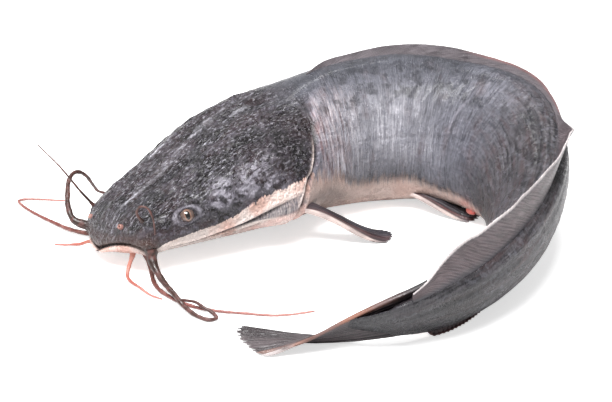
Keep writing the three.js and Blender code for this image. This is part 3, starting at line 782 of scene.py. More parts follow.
        # Painted highlight and painted shade: pale glints and dark crevices on the upper head, as light on wet grains
        # and shade between them.
        glint = self.effects.strokes(bench, lay, 2.8, 1.3, 0.56, 0.62)
        crevice_shade = self.effects.strokes(bench, lay, 3.6, 1.9, 0.52, 0.62)
        net = self.effects.spots(bench, place, 0.0046, 0.40, 0.54)
        colour = bench.blend(bench.times(cheek, net), colour, self.cheek_lilac)
        colour = bench.blend(bench.times(speck, 0.55), colour, self.head_lilac)
        colour = bench.blend(bench.times(veil, 0.35), colour, self.head_lilac)
        colour = bench.blend(bench.times(bench.times(glint, above), 0.70), colour, self.head_glint)
        colour = bench.blend(bench.times(bench.times(crevice_shade, above), 0.85), colour, self.head_dark)
        # Painted highlight: pale streaks along the skull ridges.
        ridge_highlight = bench.times(bench.mark("ridge_highlight"), bench.ramp(speck, 0, 1, 0.45, 1.0))
        return bench.blend(ridge_highlight, colour, self.painted_highlight)

    def head_share(self, bench: Bench, place: object) -> bpy.types.NodeSocket:
        """Where the head's dark skin reaches, up to the edge of the gill cover and a little over the nape."""
        wobble = self.effects.spots(bench, place, 0.012, 0.35, 0.65)
        nape = bench.ramp(bench.mark("lift"), 45.0, 80.0, 0.0, 14.0)
        reach = bench.reckon("SUBTRACT", bench.plus(bench.mark("gill"), bench.times(wobble, 5.0)), nape)
        soft = bench.ramp(bench.mark("lift"), 48.0, 80.0, 0.0, -34.0)
        return bench.ramp(reach, 6.0, soft)


@dataclass(frozen=True)
class FinFinish:
    """A fin: skin over rays, with a thin margin of another colour."""

    name: str
    effects: Effects
    gloss: Gloss = Gloss(roughness=0.46, coat=0.1, coat_roughness=0.25, grain_depth=0.0004)
    membrane: Colour = (0.012, 0.008, 0.011)
    ray: Colour = (0.200, 0.172, 0.190)
    root: Colour = (0.060, 0.058, 0.068)
    margin: Colour = (0.66, 0.60, 0.60)
    blush: Colour = (0.33, 0.10, 0.08)

    def material(self) -> bpy.types.Material:
        """The fin's material."""
        material, bench, shader = self.gloss.shader(self.name)
        place = bench.node("ShaderNodeTexCoord").outputs["Object"]
        reach, ray, blush = bench.mark("reach"), bench.mark("ray"), bench.mark("blush")
        lay = bench.mark("lay", vector=True)
        cloud = self.effects.spots(bench, place, 0.013, 0.38, 0.62)
        fine = self.effects.strokes(bench, lay, 0.9, 9.0, 0.42, 0.62)
        colour = bench.blend(bench.times(ray, bench.ramp(cloud, 0, 1, 0.40, 1.0)), self.membrane, self.ray)
        colour = bench.blend(bench.times(fine, 0.5), colour, self.ray)
        colour = bench.blend(bench.ramp(reach, 0.35, 0.0), colour, self.root)
        colour = bench.blend(bench.times(blush, bench.ramp(fine, 0, 1, 0.4, 1.0)), colour, self.blush)
        share = bench.times(bench.mark("pale"), bench.ramp(cloud, 0, 1, 1.0, 0.7))
        bench.feed(shader.inputs["Base Color"], bench.blend(share, colour, self.margin))
        bench.feed(shader.inputs["Roughness"], bench.ramp(cloud, 0, 1, 0.34, 0.52))
        grain = bench.group(self.effects.grain, "Mask", Place=place, Size=0.0011)
        self.gloss.raise_grain(bench, shader, bench.plus(grain, fine), 0.5)
        return material


@dataclass(frozen=True)
class FeelerFinish:
    """A feeler: one colour at its root, another at its tip, with worn pink patches between."""

    name: str
    effects: Effects
    root: Colour = (0.028, 0.014, 0.011)
    middle: Colour = (0.055, 0.022, 0.017)
    tip: Colour = (0.10, 0.045, 0.04)
    patch: Colour = (0.22, 0.09, 0.08)
    patches: float = 0.4
    gloss: Gloss = Gloss(roughness=0.40, coat=0.15, coat_roughness=0.2, grain_depth=0.0004)

    def material(self) -> bpy.types.Material:
        """The feeler's material."""
        material, bench, shader = self.gloss.shader(self.name)
        place = bench.node("ShaderNodeTexCoord").outputs["Object"]
        reach = bench.mark("reach")
        colour = bench.blend(bench.ramp(reach, 0.05, 0.5), self.root, self.middle)
        colour = bench.blend(bench.ramp(reach, 0.5, 1.0), colour, self.tip)
        worn = self.effects.spots(bench, place, 0.004, 0.45, 0.65)
        colour = bench.blend(bench.times(worn, self.patches), colour, self.patch)
        bench.feed(shader.inputs["Base Color"], colour)
        bench.feed(shader.inputs["Roughness"], bench.ramp(worn, 0, 1, 0.34, 0.5))
        grain = bench.group(self.effects.grain, "Mask", Place=place, Size=0.0008)
        self.gloss.raise_grain(bench, shader, grain, 0.5)
        return material


@dataclass(frozen=True)
class EyeFinish:
    """The eyeball: dark pupil, tan iris with darker spokes, a dark rim and a wet coat over all."""

    effects: Effects
    gloss: Gloss = Gloss(roughness=0.12, coat=1.0, coat_roughness=0.03, grain_depth=0.0001)
    pupil: Colour = (0.006, 0.005, 0.005)
    ring: Colour = (0.230, 0.130, 0.095)
    iris: Colour = (0.145, 0.100, 0.085)
    spoke: Colour = (0.060, 0.040, 0.036)
    rim: Colour = (0.020, 0.016, 0.016)

    def material(self) -> bpy.types.Material:
        """The eye's material."""
        material, bench, shader = self.gloss.shader("wet_eye")
        place = bench.node("ShaderNodeTexCoord").outputs["Object"]
        gaze = bench.mark("gaze")
        spokes = self.effects.strokes(bench, bench.mark("lay", vector=True), 3.0, 0.35, 0.35, 0.65)
        cloud = self.effects.spots(bench, place, 0.0015, 0.4, 0.6)
        colour = bench.blend(bench.times(spokes, 0.55), self.iris, self.spoke)
        colour = bench.blend(bench.ramp(gaze, 0.56, 0.40), colour, self.ring)
        colour = bench.blend(bench.ramp(gaze, 0.34, 0.29), colour, self.pupil)
        edge = bench.plus(gaze, bench.ramp(cloud, 0, 1, -0.04, 0.04))
        bench.feed(shader.inputs["Base Color"], bench.blend(bench.ramp(edge, 0.98, 1.10), colour, self.rim))
        bench.feed(shader.inputs["Roughness"], bench.ramp(cloud, 0, 1, 0.08, 0.2))
        self.gloss.raise_grain(bench, shader, cloud, 0.2)
        return material


@dataclass(frozen=True)
class FloorFinish:
    """Plain white studio floor."""

    white: Colour = (0.93, 0.93, 0.93)
    off_white: Colour = (0.92, 0.92, 0.92)
    lift: float = 0.60

    def material(self) -> bpy.types.Material:
        """The floor's material."""
        material = bpy.data.materials.new("pale_floor")
        material.use_nodes = True
        bench = Bench(material.node_tree)
        shader = material.node_tree.nodes["Principled BSDF"]
        cloud = bench.noise(bench.node("ShaderNodeTexCoord").outputs["Object"], 3.0)
        white = bench.blend(bench.ramp(cloud, 0.3, 0.7), self.white, self.off_white)
        bench.feed(shader.inputs["Base Color"], white)
        bench.feed(shader.inputs["Roughness"], bench.ramp(cloud, 0.3, 0.7, 0.8, 0.9))
        shader.inputs["Specular IOR Level"].default_value = 0.1
        shader.inputs["Emission Color"].default_value = (1.0, 1.0, 1.0, 1.0)
        seen = bench.node("ShaderNodeLightPath").outputs["Is Camera Ray"]
        bench.feed(shader.inputs["Emission Strength"], bench.times(seen, self.lift))
        return material


# ---- Body ------------------------------------------------------------------------------------------------


@dataclass
class Body:
    """The body's skin, with lips, eye rims, skull ridges, gill covers, folds and the flesh over the fin roots."""

    form: FishForm
    tip_rings: int = 60
    head_rings: int = 250
    trunk_rings: int = 330
    sides: int = 360
    stump_start: float = 0.92
    stump_end: float = 1.05
    eye_along: float = 0.083
    eye_angle: float = 14.0
    rim_radius: float = 4.9
    mouth_end: float = 0.04
    gill_edge: Profile = Profile(
        ((-50, 0.200), (-12, 0.232), (0, 0.244), (8, 0.260), (20, 0.272), (36, 0.279), (56, 0.282), (90, 0.285))
    )
    pale_line: Profile = Profile(
        ((0, -40), (0.02, -40), (0.034, -30), (0.045, -16), (0.088, -8), (0.128, -5), (0.156, -1), (0.192, 2),
         (0.224, 3), (0.25, 4), (0.27, 1), (0.316, -8), (0.368, -24), (0.4, -24), (0.444, -24), (0.492, -32),
         (0.548, -44), (0.604, -52), (0.7, -66), (1, -85))
    )
    # Pale streaks along the skull ridges, raised a little and painted as highlights: share, angle, length and width.
    skull_streaks: tuple[tuple[float, float, float, float], ...] = (
        (0.095, 96, 9.0, 1.1), (0.115, 88, 8.0, 1.0), (0.142, 86, 10.0, 1.2), (0.165, 82, 9.0, 1.2),
        (0.19, 75, 9.0, 1.3), (0.06, 50, 8.0, 0.9), (0.085, 43, 7.0, 0.8), (0.12, 60, 10.0, 0.8),
        (0.15, 108, 9.0, 1.0), (0.21, 96, 8.0, 1.2), (0.05, 100, 8.0, 0.9))
    fold_top: Profile = Profile(((0.09, -28), (0.108, -24), (0.152, -16), (0.192, -8), (0.224, -3), (0.25, 0)))
    pits: tuple[tuple[float, ...], ...] = ((0.048, 84, 6.0, 1.7, 1.0), (0.196, 92, 4.0, 2.2, 1.3))

    def lay_out(self) -> None:
        """Works out the grid of places, before any relief."""
        tip = 0.03 * (np.arange(self.tip_rings) / self.tip_rings) ** 2
        tip[0] = 1e-5
        head = np.linspace(0.03, 0.33, self.head_rings, endpoint=False)
        trunk = np.linspace(0.33, self.stump_end, self.trunk_rings)
        self.along = np.concatenate([tip, head, trunk])[:, None]
        self.angle = (-90.0 + 360.0 * np.arange(self.sides) / self.sides)[None, :]
        held = np.minimum(self.along, 1.0)
        place, _, left, back = self.form.frame(self.along[:, 0])
        self.across, self.up = self.form.section(held, self.angle)
        closing = np.clip((self.along - self.stump_start) / (self.stump_end - self.stump_start), 0.0, 1.0)
        self.across = self.across * np.maximum((1.0 - closing) ** 0.7 * (1.0 - 0.25 * closing), 0.03)
        self.up = self.up * (1.0 - 0.80 * closing**1.6)
        self.points = place[:, None] + left[:, None] * self.across[..., None] + back[:, None] * self.up[..., None]
        self.lift = np.where(self.angle <= 90, self.angle, 180 - self.angle) + 0 * self.along
        self.is_left = (self.angle < 90) + 0 * self.along
        step = np.linalg.norm(np.diff(self.points, axis=1), axis=-1)
        girth = np.concatenate([np.zeros((len(self.along), 1)), np.cumsum(step, axis=1)], axis=1)
        self.girth = girth - girth[:, [self.sides // 2]]
        self.travel = self.along * self.form.length + 0 * self.angle

    def from_place(self, along: float, angle: float) -> np.ndarray:
        """Straight distance of every grid place from one place on the skin."""
        return np.linalg.norm(self.points - self.form.skin(along, angle), axis=-1)

    def from_eye(self, side: Side) -> np.ndarray:
        """Distance of every grid place from an eye, measured so that the eye's almond opening is a circle."""
        centre = self.form.skin(self.eye_along, side.angle(self.eye_angle))
        _, tangent, _, _ = self.form.frame(np.array(self.eye_along))
        away = self.points - centre
        ahead = away @ tangent
        aside = np.sqrt(np.maximum((away**2).sum(axis=-1) - ahead**2, 0.0))
        return np.hypot(ahead / 1.42, aside / 0.80)

    def mouth(self) -> tuple[np.ndarray, np.ndarray]:
        """Distance above the line of the mouth, and how far each place belongs to it."""
        line = 0.6 - 7.0 * ease(0.0, 0.036, self.along)
        front = 1.0 - ease(self.mouth_end - 0.006, self.mouth_end + 0.006, self.along)
        return self.up - line, front + 0 * self.angle

    def relief_of_head(self) -> np.ndarray:
        """Lips, nostrils, eye rims, pits, skull ridges and fleshy feeler roots."""
        over, front = self.mouth()
        lips = front * (1.2 * hump(over - 2.6, 1.7) - 2.0 * hump(over, 0.8) + 1.0 * hump(over + 2.8, 1.8))
        total = lips
        for side in Side:
            eye = self.from_eye(side)
            total = total + 1.5 * hump(eye - self.rim_radius, 0.75) - 0.8 * hump(eye, 3.0)
            total = total - 0.5 * hump(eye - self.rim_radius - 2.0, 0.8)
            total = total + 0.4 * hump(eye - self.rim_radius - 3.6, 1.0)
            corner = self.from_place(0.034 if side is Side.LEFT else 0.028, side.angle(-18.0))
            total = total + 3.4 * hump(corner, 7.5)
            nostril = self.from_place(0.034 if side is Side.LEFT else 0.03, side.angle(34.0))
            total = total + 0.9 * hump(nostril - 1.6, 1.2) - 0.7 * hump(nostril, 1.1)
            front_nostril = self.from_place(0.017, side.angle(44.0))
            total = total + 0.8 * hump(front_nostril, 2.4)
        for along, angle, length, width, depth in self.pits:
            ahead = (self.travel - along * self.form.length) / length
            aside = (self.girth - (90 - angle) * 0.35) / width
            total = total - depth * np.exp(-(ahead**2) - aside**2)
            total = total + 0.35 * hump(np.hypot(ahead, aside) - 1.7, 0.5)
        skull = band(self.along, 0.01, 0.05, 0.24, 0.275) * ease(18.0, 45.0, self.lift)
        lay = np.stack([self.travel / 17.0, self.girth / 3.4, 0 * self.travel], axis=-1)
        ridge = 1.0 - np.abs(lumps(lay, 1.0, 3)) * 2.0
        wide = lumps(np.stack([self.travel / 30.0, self.girth / 8.0, 0 * self.travel], axis=-1), 1.0, 4)
        cheek = band(self.along, 0.06, 0.1, 0.24, 0.27) * band(self.lift, -8.0, 6.0, 40.0, 60.0)
        wet = band(self.along, 0.004, 0.03, 0.262, 0.285) * ease(-14.0, 6.0, self.lift)
        beads = lumps(np.stack([self.travel / 3.4, self.girth / 1.8, 0 * self.travel], axis=-1), 1.0, 21)
        total = total + wet * (0.30 * beads + 0.22 * lumps(self.points, 1.9, 22))
        total = total + 0.5 * self.veins_and_ridge_highlights()
        return total + skull * (0.60 * ridge + 0.9 * wide) + cheek * 0.6 * lumps(self.points, 9.0, 5)

    def veins_and_ridge_highlights(self) -> np.ndarray:
        """How far each place lies on one of the pale streaks along the skull ridges, raised a little and painted as
        highlights.
        """
        total = 0 * self.travel
        for along, angle, length, width in self.skull_streaks:
            ahead = (self.travel - along * self.form.length) / length
            aside = (self.girth + (angle - 90.0) * 0.70 - 0.12 * (self.travel - along * self.form.length)) / width
            wave = 0.6 * lumps(self.points, 5.0, 23)
            total = np.maximum(total, hump(ahead, 1.0) * hump(aside + wave, 1.0))
        return total * np.clip(0.45 + 1.1 * lumps(self.points, 4.5, 24), 0.0, 1.0)

    def relief_of_gills(self) -> np.ndarray:
        """Gill covers' rear edges, the folds under the jaw, the throat and the wrinkles behind."""
        self.gill = (self.along - self.gill_edge.at(self.lift)) * self.form.length
        reach = ease(-48.0, -30.0, self.lift) * (1.0 - ease(42.0, 72.0, self.lift))
        cover = 1.0 - ease(-1.0, 0.9, self.gill)
        total = reach * cover * 2.0 * hump(np.minimum(self.gill, 0.0), 13.0)
        total = total - reach * (1.0 - cover) * 1.8 * hump(self.gill, 4.2)
        total = total + reach * (1.0 - cover) * 0.8 * hump(self.gill - 7.0, 3.0)
        self.under = self.lift - self.pale_line.at(self.along)
        jaw = band(self.along, 0.045, 0.07, 0.21, 0.236)
        below = self.lift - self.fold_top.at(self.along)
        total = total + jaw * (0.5 * ease(-2.0, 1.5, self.under) - 1.3 * hump(below + 2.5, 2.4))
        total = total + jaw * (0.5 * hump(below - 3.0, 3.0) - 0.5 * hump(below + 14.0, 2.2))
        total = total + 1.8 * hump(self.along - 0.215, 0.03) * hump(self.lift + 24.0, 13.0)
        wavy = self.travel + 4.0 * lumps(self.points, 12.0, 7) + 0.05 * self.lift
        folds = band(self.along, 0.282, 0.292, 0.335, 0.40) * band(self.lift, -30.0, -5.0, 55.0, 78.0)
        patchy = 0.5 + 0.5 * lumps(self.points, 13.0, 8)
        ripple = 0.30 * np.sin(2 * math.pi * wavy / 5.1) + 0.22 * np.sin(2 * math.pi * wavy / 2.7 + 1.0)
        total = total + folds * patchy * ripple
        return total

    def relief_of_trunk(self) -> np.ndarray:
        """Crease on the flank, muscles along the back, tail and belly, and the line along the side."""
        line = 0.532 + 0.014 * ((self.lift - 10.0) / 28.0) ** 2
        off = (self.along - line) * self.form.length
        crease = self.is_left * band(self.lift, 2.0, 12.0, 36.0, 48.0)
        total = crease * (0.45 * hump(off + 1.6, 1.5) - 0.35 * hump(off - 0.6, 1.1))
        beside = np.abs(self.girth)
        trunk = ease(0.31, 0.38, self.along)
        behind = ease(0.50, 0.62, self.along)
        muscle = 0.9 * hump(beside - 6.5, 3.2) - 0.5 * hump(beside - 12.0, 2.2)
        total = total + trunk * (0.25 + 0.65 * behind) * muscle
        roots = np.sin(2 * math.pi * (self.travel + 0.7 * beside) / 4.2)
        total = total + 0.20 * roots * hump(beside - 7.0, 5.0) * ease(0.46, 0.56, self.along)
        chevron = np.sin(2 * math.pi * (self.travel - 0.9 * np.abs(self.lift - 10.0) * 0.4) / 7.5)
        total = total + 0.11 * chevron * ease(0.40, 0.55, self.along) * (1.0 - ease(0.93, 1.0, self.along))
        total = total - 0.25 * hump(self.lift - 12.0, 1.4) * band(self.along, 0.3, 0.34, 0.93, 0.98)
        belly = band(self.along, 0.30, 0.34, 0.56, 0.62)
        total = total + belly * (0.7 * hump(self.under + 12.0, 8.0) - 0.6 * hump(self.under + 1.0, 4.0))
        for along, angle, width in ((0.236, -20.0, 7.5), (0.452, -48.0, 6.5)):
            for side in Side:
                total = total + 1.5 * hump(self.from_place(along, side.angle(angle)), width)
        total = total + 0.9 * hump(self.from_place(0.588, -66.0), 6.0)
        from_keel = self.angle + 90.0 - 360.0 * (self.angle > 180.0)
        total = total + 2.4 * band(self.along, 0.82, 0.9, 0.97, 1.03) * hump(from_keel, 30.0)
        soft = lumps(self.points, 42.0, 11) * 0.9 + lumps(self.points, 17.0, 12) * 0.3
        return total + soft * ease(0.03, 0.12, self.along)

    def marks(self, relief: np.ndarray) -> dict[str, np.ndarray]:
        """Values that the skin's finish reads.

        Args:
            relief: Height of the relief in millimetres.

        Returns:
            Each value by name.
        """
        over, front = self.mouth()
        eyes = np.minimum(self.from_eye(Side.LEFT), self.from_eye(Side.RIGHT))
        lower_lip = front * hump(over + 4.0, 2.4)
        lip = front * np.clip(hump(over - 0.6, 1.0) + 0.55 * band(over, 0.0, 1.0, 4.0, 7.0), 0, 1)
        below = self.lift - self.fold_top.at(self.along)
        behind = hump(self.gill - 5.0, 6.0) * band(self.lift, -30.0, -10.0, 45.0, 70.0)
        folds = band(self.along, 0.282, 0.29, 0.31, 0.35) * band(self.lift, -20.0, 0.0, 30.0, 55.0)
        vent = hump(self.from_place(0.588, -66.0), 8.0)
        throat = band(self.along, 0.12, 0.17, 0.232, 0.25) * band(below, -60.0, -40.0, -16.0, -9.0)
        blush = 0.10 * behind + 0.10 * folds + 0.9 * vent + 0.40 * throat + 0.35 * lower_lip
        jaw = band(self.along, 0.09, 0.14, 0.236, 0.25)
        spread = 5.0 + 11.0 * ease(0.15, 0.215, self.along)
        fold = jaw * band(below / spread, -1.0, -0.72, -0.14, 0.04)
        cream = 0.95 * hump(self.gill + 1.4, 1.3) * band(self.lift, -16.0, -6.0, 20.0, 32.0)
        bulk = 0.7 * hump(eyes - self.rim_radius + 0.5, 0.6) + 0.75 * hump(eyes - self.rim_radius - 3.0, 0.9)
        root = np.maximum(hump(self.from_place(0.034, -20.0), 6.5), hump(self.from_place(0.028, 200.0), 6.5))
        gill_slit = 0.95 * hump(self.gill - 1.9, 1.5) * band(self.lift, -40.0, -20.0, 40.0, 62.0)
        slit = front * hump(over, 0.9) + gill_slit
        shade = band(self.along, 0.17, 0.225, 0.270, 0.282) * band(self.lift, 14.0, 26.0, 46.0, 64.0)
        for along, angle, length, width, _ in self.pits:
            ahead = (self.travel - along * self.form.length) / length
            slit = slit + 0.8 * np.exp(-(ahead**2) - ((self.girth - (90 - angle) * 0.35) / (width * 0.8)) ** 2)
        # Painted highlight along the crease on the left flank.
        off = (self.along - 0.532 - 0.014 * ((self.lift - 10.0) / 28.0) ** 2) * self.form.length
        crease = self.is_left * band(self.lift, 2.0, 12.0, 36.0, 48.0) * hump(off + 1.6, 1.2)
        halo = hump(eyes - self.rim_radius - 1.1, 1.1)
        return {
            "reach": self.along + 0 * self.angle,
            "lay": np.stack([self.travel, self.girth, 0 * self.girth], axis=-1),
            "belly": np.clip(self.under, -60, 60) * (1.0 - front) + front * np.where(over < 0, -30.0, 30.0),
            "fold": np.clip(fold, 0, 1),
            "cheek": band(self.along, 0.085, 0.125, 0.19, 0.235) * band(self.lift, -4.0, 6.0, 26.0, 46.0),
            # The sheen band is where a painted highlight lightens the flank.
            "sheen": band(self.along, 0.27, 0.32, 0.43, 0.56) * band(self.lift, -30.0, 2.0, 30.0, 62.0),
            "cream": np.clip(cream, 0, 1),
            "gill": np.clip(self.gill, -60, 60),
            "lift": self.lift,
            "lip": np.clip(lip + 0.75 * root, 0, 1),
            "blush": np.clip(blush, 0, 1),
            # Painted shade in the mouth slit, the groove behind the gill covers, the pits and round the eyes, with a
            # dark patch at the back of the head.
            "dark": np.clip(0.75 * bulk + slit + 0.5 * shade, 0, 1),
            "light": np.clip(0.85 * halo + 0.6 * crease, 0, 1),
            "ridge_highlight": self.veins_and_ridge_highlights(),
            "wrinkle": band(self.along, 0.282, 0.290, 0.325, 0.38) * band(self.lift, -34.0, -12.0, 48.0, 72.0),
            "relief": relief,
        }

    def build(self, shop: Workshop, finish: bpy.types.Material) -> None:
        """Builds the skin.

        Args:
            shop: Makes the piece.
            finish: The skin's material.
        """
        self.lay_out()
        relief = self.relief_of_head() + self.relief_of_gills() + self.relief_of_trunk()
        relief = relief * (1.0 - 0.8 * ease(0.985, 1.0, self.along))
        normal = grid_normals(self.points)
        axis = self.points.mean(axis=1, keepdims=True)
        facing = np.sign(np.median(np.einsum("ijk,ijk->ij", normal, self.points - axis)))
        points = self.points + normal * facing * relief[..., None]
        points[..., 2] = np.maximum(points[..., 2], 0.0)
        shop.piece("skin", points, finish, self.marks(relief), node="body")


# ---- Fins ------------------------------------------------------------------------------------------------


@dataclass
class Fin:
    """A fin as a thin closed plate with raised rays; the shapes below give its middle surface."""

    form: FishForm
    name: str
    steps: int
    across: int
    rays: int
    root_thickness: float
    margin_thickness: float = 0.9
    floor_gap: float = 0.15
    root_depth: float = 3.0
    ray_height: float = 0.22
    ray_gap: float = 2.3
    pale: float = 1.0
    seed: int = 21

    def middle(self, u: np.ndarray, v: np.ndarray) -> np.ndarray:
        """Middle surface, from shares along the root and from root to edge."""
        raise NotImplementedError

    def reach(self, u: np.ndarray, v: np.ndarray) -> np.ndarray:
        """Share from root to free edge."""
        return v + 0 * u

    def ray_share(self, u: np.ndarray, v: np.ndarray) -> np.ndarray:
        """Share across the fan of rays."""
        return u + 0 * v

    def thickness(self, u: np.ndarray, v: np.ndarray) -> np.ndarray:
        """Thickness of the plate."""
        share = np.sqrt(np.clip(self.reach(u, v), 0, 1))
        return self.root_thickness + (self.margin_thickness - self.root_thickness) * share

    def blush(self, u: np.ndarray, v: np.ndarray) -> np.ndarray:
        """Where the fin is reddened."""
        return 0 * u * v

    def pale_share(self, u: np.ndarray, v: np.ndarray) -> np.ndarray:
        """Where the free margin is pale."""
        return self.pale * ease(0.93, 0.985, self.reach(u, v))

    def build(self, shop: Workshop, finish: bpy.types.Material) -> None:
        """Builds the fin.

        Args:
            shop: Makes the piece.
            finish: Its material.
        """
        u = np.linspace(0, 1, self.steps + 1)[:, None]
        v = np.linspace(0, 1, self.across + 1)[None, :]
        grid = self.middle(u, v)
        down, over = np.gradient(grid, axis=0), np.gradient(grid, axis=1)
        normal = np.cross(down, over)
        normal /= np.maximum(np.linalg.norm(normal, axis=-1, keepdims=True), 1e-9)
        wave = np.cos(2 * math.pi * self.rays * self.ray_share(u, v))
        reach = self.reach(u, v)
        half = self.thickness(u, v) / 2 * np.where(reach > 0.985, 0.45, 1.0)
        rayed = (0.5 + 0.5 * wave) ** 2
        raised = self.ray_height * rayed * ease(0.02, 0.2, reach) * (1.0 - 0.5 * ease(0.8, 1.0, reach))
        raised = raised + 0.12 * lumps(grid, 5.0, self.seed)
        faces = []
        for side in (1.0, -1.0):
            face = grid + normal * (side * (half + raised))[..., None]
            face[..., 2] = np.maximum(face[..., 2], self.floor_gap + (0.3 if side > 0 else 0.0))
            faces.append(face)
        rings = np.concatenate([faces[0], faces[1][:, ::-1]], axis=1)
        lay = np.stack([self.ray_share(u, v) * self.rays * self.ray_gap, reach * 25.0, 0 * reach], axis=-1)
        marks = {"reach": reach, "ray": rayed, "blush": self.blush(u, v), "pale": self.pale_share(u, v)}
        marks = {key: mark + 0 * reach for key, mark in marks.items()}
        marks = {key: np.concatenate([mark, mark[:, ::-1]], axis=1) for key, mark in marks.items()}
        marks["lay"] = np.concatenate([lay, lay[:, ::-1]], axis=1)
        shop.piece(self.name, rings, finish, marks, EndCap.STRIP, self.name)


@dataclass
class DorsalFin(Fin):
    """Long back fin: laid over to the right along the trunk, and standing up along the tail."""

    start: float = 0.315
    end: float = 0.975
    height: float = 26.0
    sweep: float = 0.07
    fold: Profile = Profile(
        ((0, 62), (0.08, 84), (0.25, 80), (0.38, 78), (0.46, 84), (0.5, 72), (0.55, 28), (0.62, -8), (1, -26))
    )
    rise: Profile = Profile(
        ((0, 0.04), (0.03, 0.3), (0.08, 0.56), (0.14, 0.7), (0.4, 0.45), (0.46, 0.27), (0.51, 0.17),
         (0.56, 0.42), (0.63, 0.9), (0.7, 1), (0.9, 0.85), (1, 0.1))
    )
    rake: Profile = Profile(((0, 30), (0.4, 12), (0.55, 15), (0.8, 25), (1, 10)))

    def middle(self, u: np.ndarray, v: np.ndarray) -> np.ndarray:
        """Middle surface, with a wavy and slightly scalloped free edge."""
        along = self.start + (self.end - self.start) * u[:, 0]
        _, tangent, left, back = self.form.frame(along)
        fold = np.radians(self.fold.at(u[:, 0]))[:, None]
        outward = back * np.cos(fold) - left * np.sin(fold)
        aside = back * np.sin(fold) + left * np.cos(fold)
        notch = 0.5 - 0.5 * np.cos(2 * math.pi * self.rays * u)
        nick = np.maximum(0, np.sin(2 * math.pi * 9.3 * u + 1.0)) ** 8
        scallop = 1.0 - 0.02 * notch * ease(0.75, 1.0, v) - 0.03 * nick
        height = (self.rise.at(u) * self.height) * v * scallop
        wave = 0.5 * np.sin(2 * math.pi * 7 * u) + 0.25 * np.sin(2 * math.pi * 17 * u + 1.0)
        wave = wave * ease(0.45, 0.7, u) * v**2
        root = self.form.skin(along, 90.0, -self.root_depth)
        point = root[:, None] + back[:, None] * (v * self.root_depth)[..., None]
        point = point + outward[:, None] * height[..., None] + aside[:, None] * wave[..., None]
        lean = np.tan(np.radians(self.rake.at(u)))
        return point + tangent[:, None] * (height * lean)[..., None]

    def blush(self, u: np.ndarray, v: np.ndarray) -> np.ndarray:
        """Red margin round the bend, and a faint red over the rays of the tail."""
        bend = 0.6 * band(u, 0.26, 0.32, 0.46, 0.52) * ease(0.7, 0.95, v)
        return bend + 0.10 * ease(0.5, 0.6, u) * band(v, 0.1, 0.4, 0.8, 1.0)

    def ray_share(self, u: np.ndarray, v: np.ndarray) -> np.ndarray:
        """Rays that sweep back towards the tail."""
        return u - self.sweep * v

    def pale_share(self, u: np.ndarray, v: np.ndarray) -> np.ndarray:
        """Pale margin where the fin stands free."""
        return (0.15 + 0.85 * ease(0.50, 0.58, u)) * ease(0.93, 0.975, v)


@dataclass
class AnalFin(Fin):
    """Long anal fin, folded under the tail on to the floor, its edge peeping out on the outer side."""

    start: float = 0.6
    end: float = 0.95
    out: float = 4.0
    share: Profile = Profile(((0, 0.15), (0.15, 0.75), (0.4, 1), (0.85, 1), (1, 0.45)))

    def middle(self, u: np.ndarray, v: np.ndarray) -> np.ndarray:
        """Middle surface, from the belly's midline out to the floor."""
        along = self.start + (self.end - self.start) * u[:, 0]
        _, tangent, left, _ = self.form.frame(along)
        root = self.form.skin(along, 270.0, -self.root_depth)
        outward = -left * np.array([1.0, 1.0, 0.0])
        outward /= np.linalg.norm(outward, axis=-1, keepdims=True)
        scallop = 1.0 - 0.15 * (0.5 - 0.5 * np.cos(2 * math.pi * self.rays * u[:, 0]))
        edge = root + outward * (self.out * self.share.at(u[:, 0]) * scallop)[:, None] + tangent * self.out
        edge[:, 2] = self.floor_gap + self.margin_thickness / 2
        shrink = 1.0 - 0.9 * ease(0.92, 1.0, u) - 0.7 * (1.0 - ease(0.0, 0.05, u))
        point = root[:, None] + (edge - root)[:, None] * (v * shrink)[..., None]
        height = root[:, 2][:, None] + (edge[:, 2] - root[:, 2])[:, None] * np.minimum(1.0, v * 1.6) * shrink
        point[..., 2] = height
        return point

    def blush(self, u: np.ndarray, v: np.ndarray) -> np.ndarray:
        """Reddened edge, as skin thin over blood."""
        return 0.06 + 0.28 * ease(0.5, 0.9, v) * (0.5 + 0.5 * np.sin(9.0 * u + 1.0))


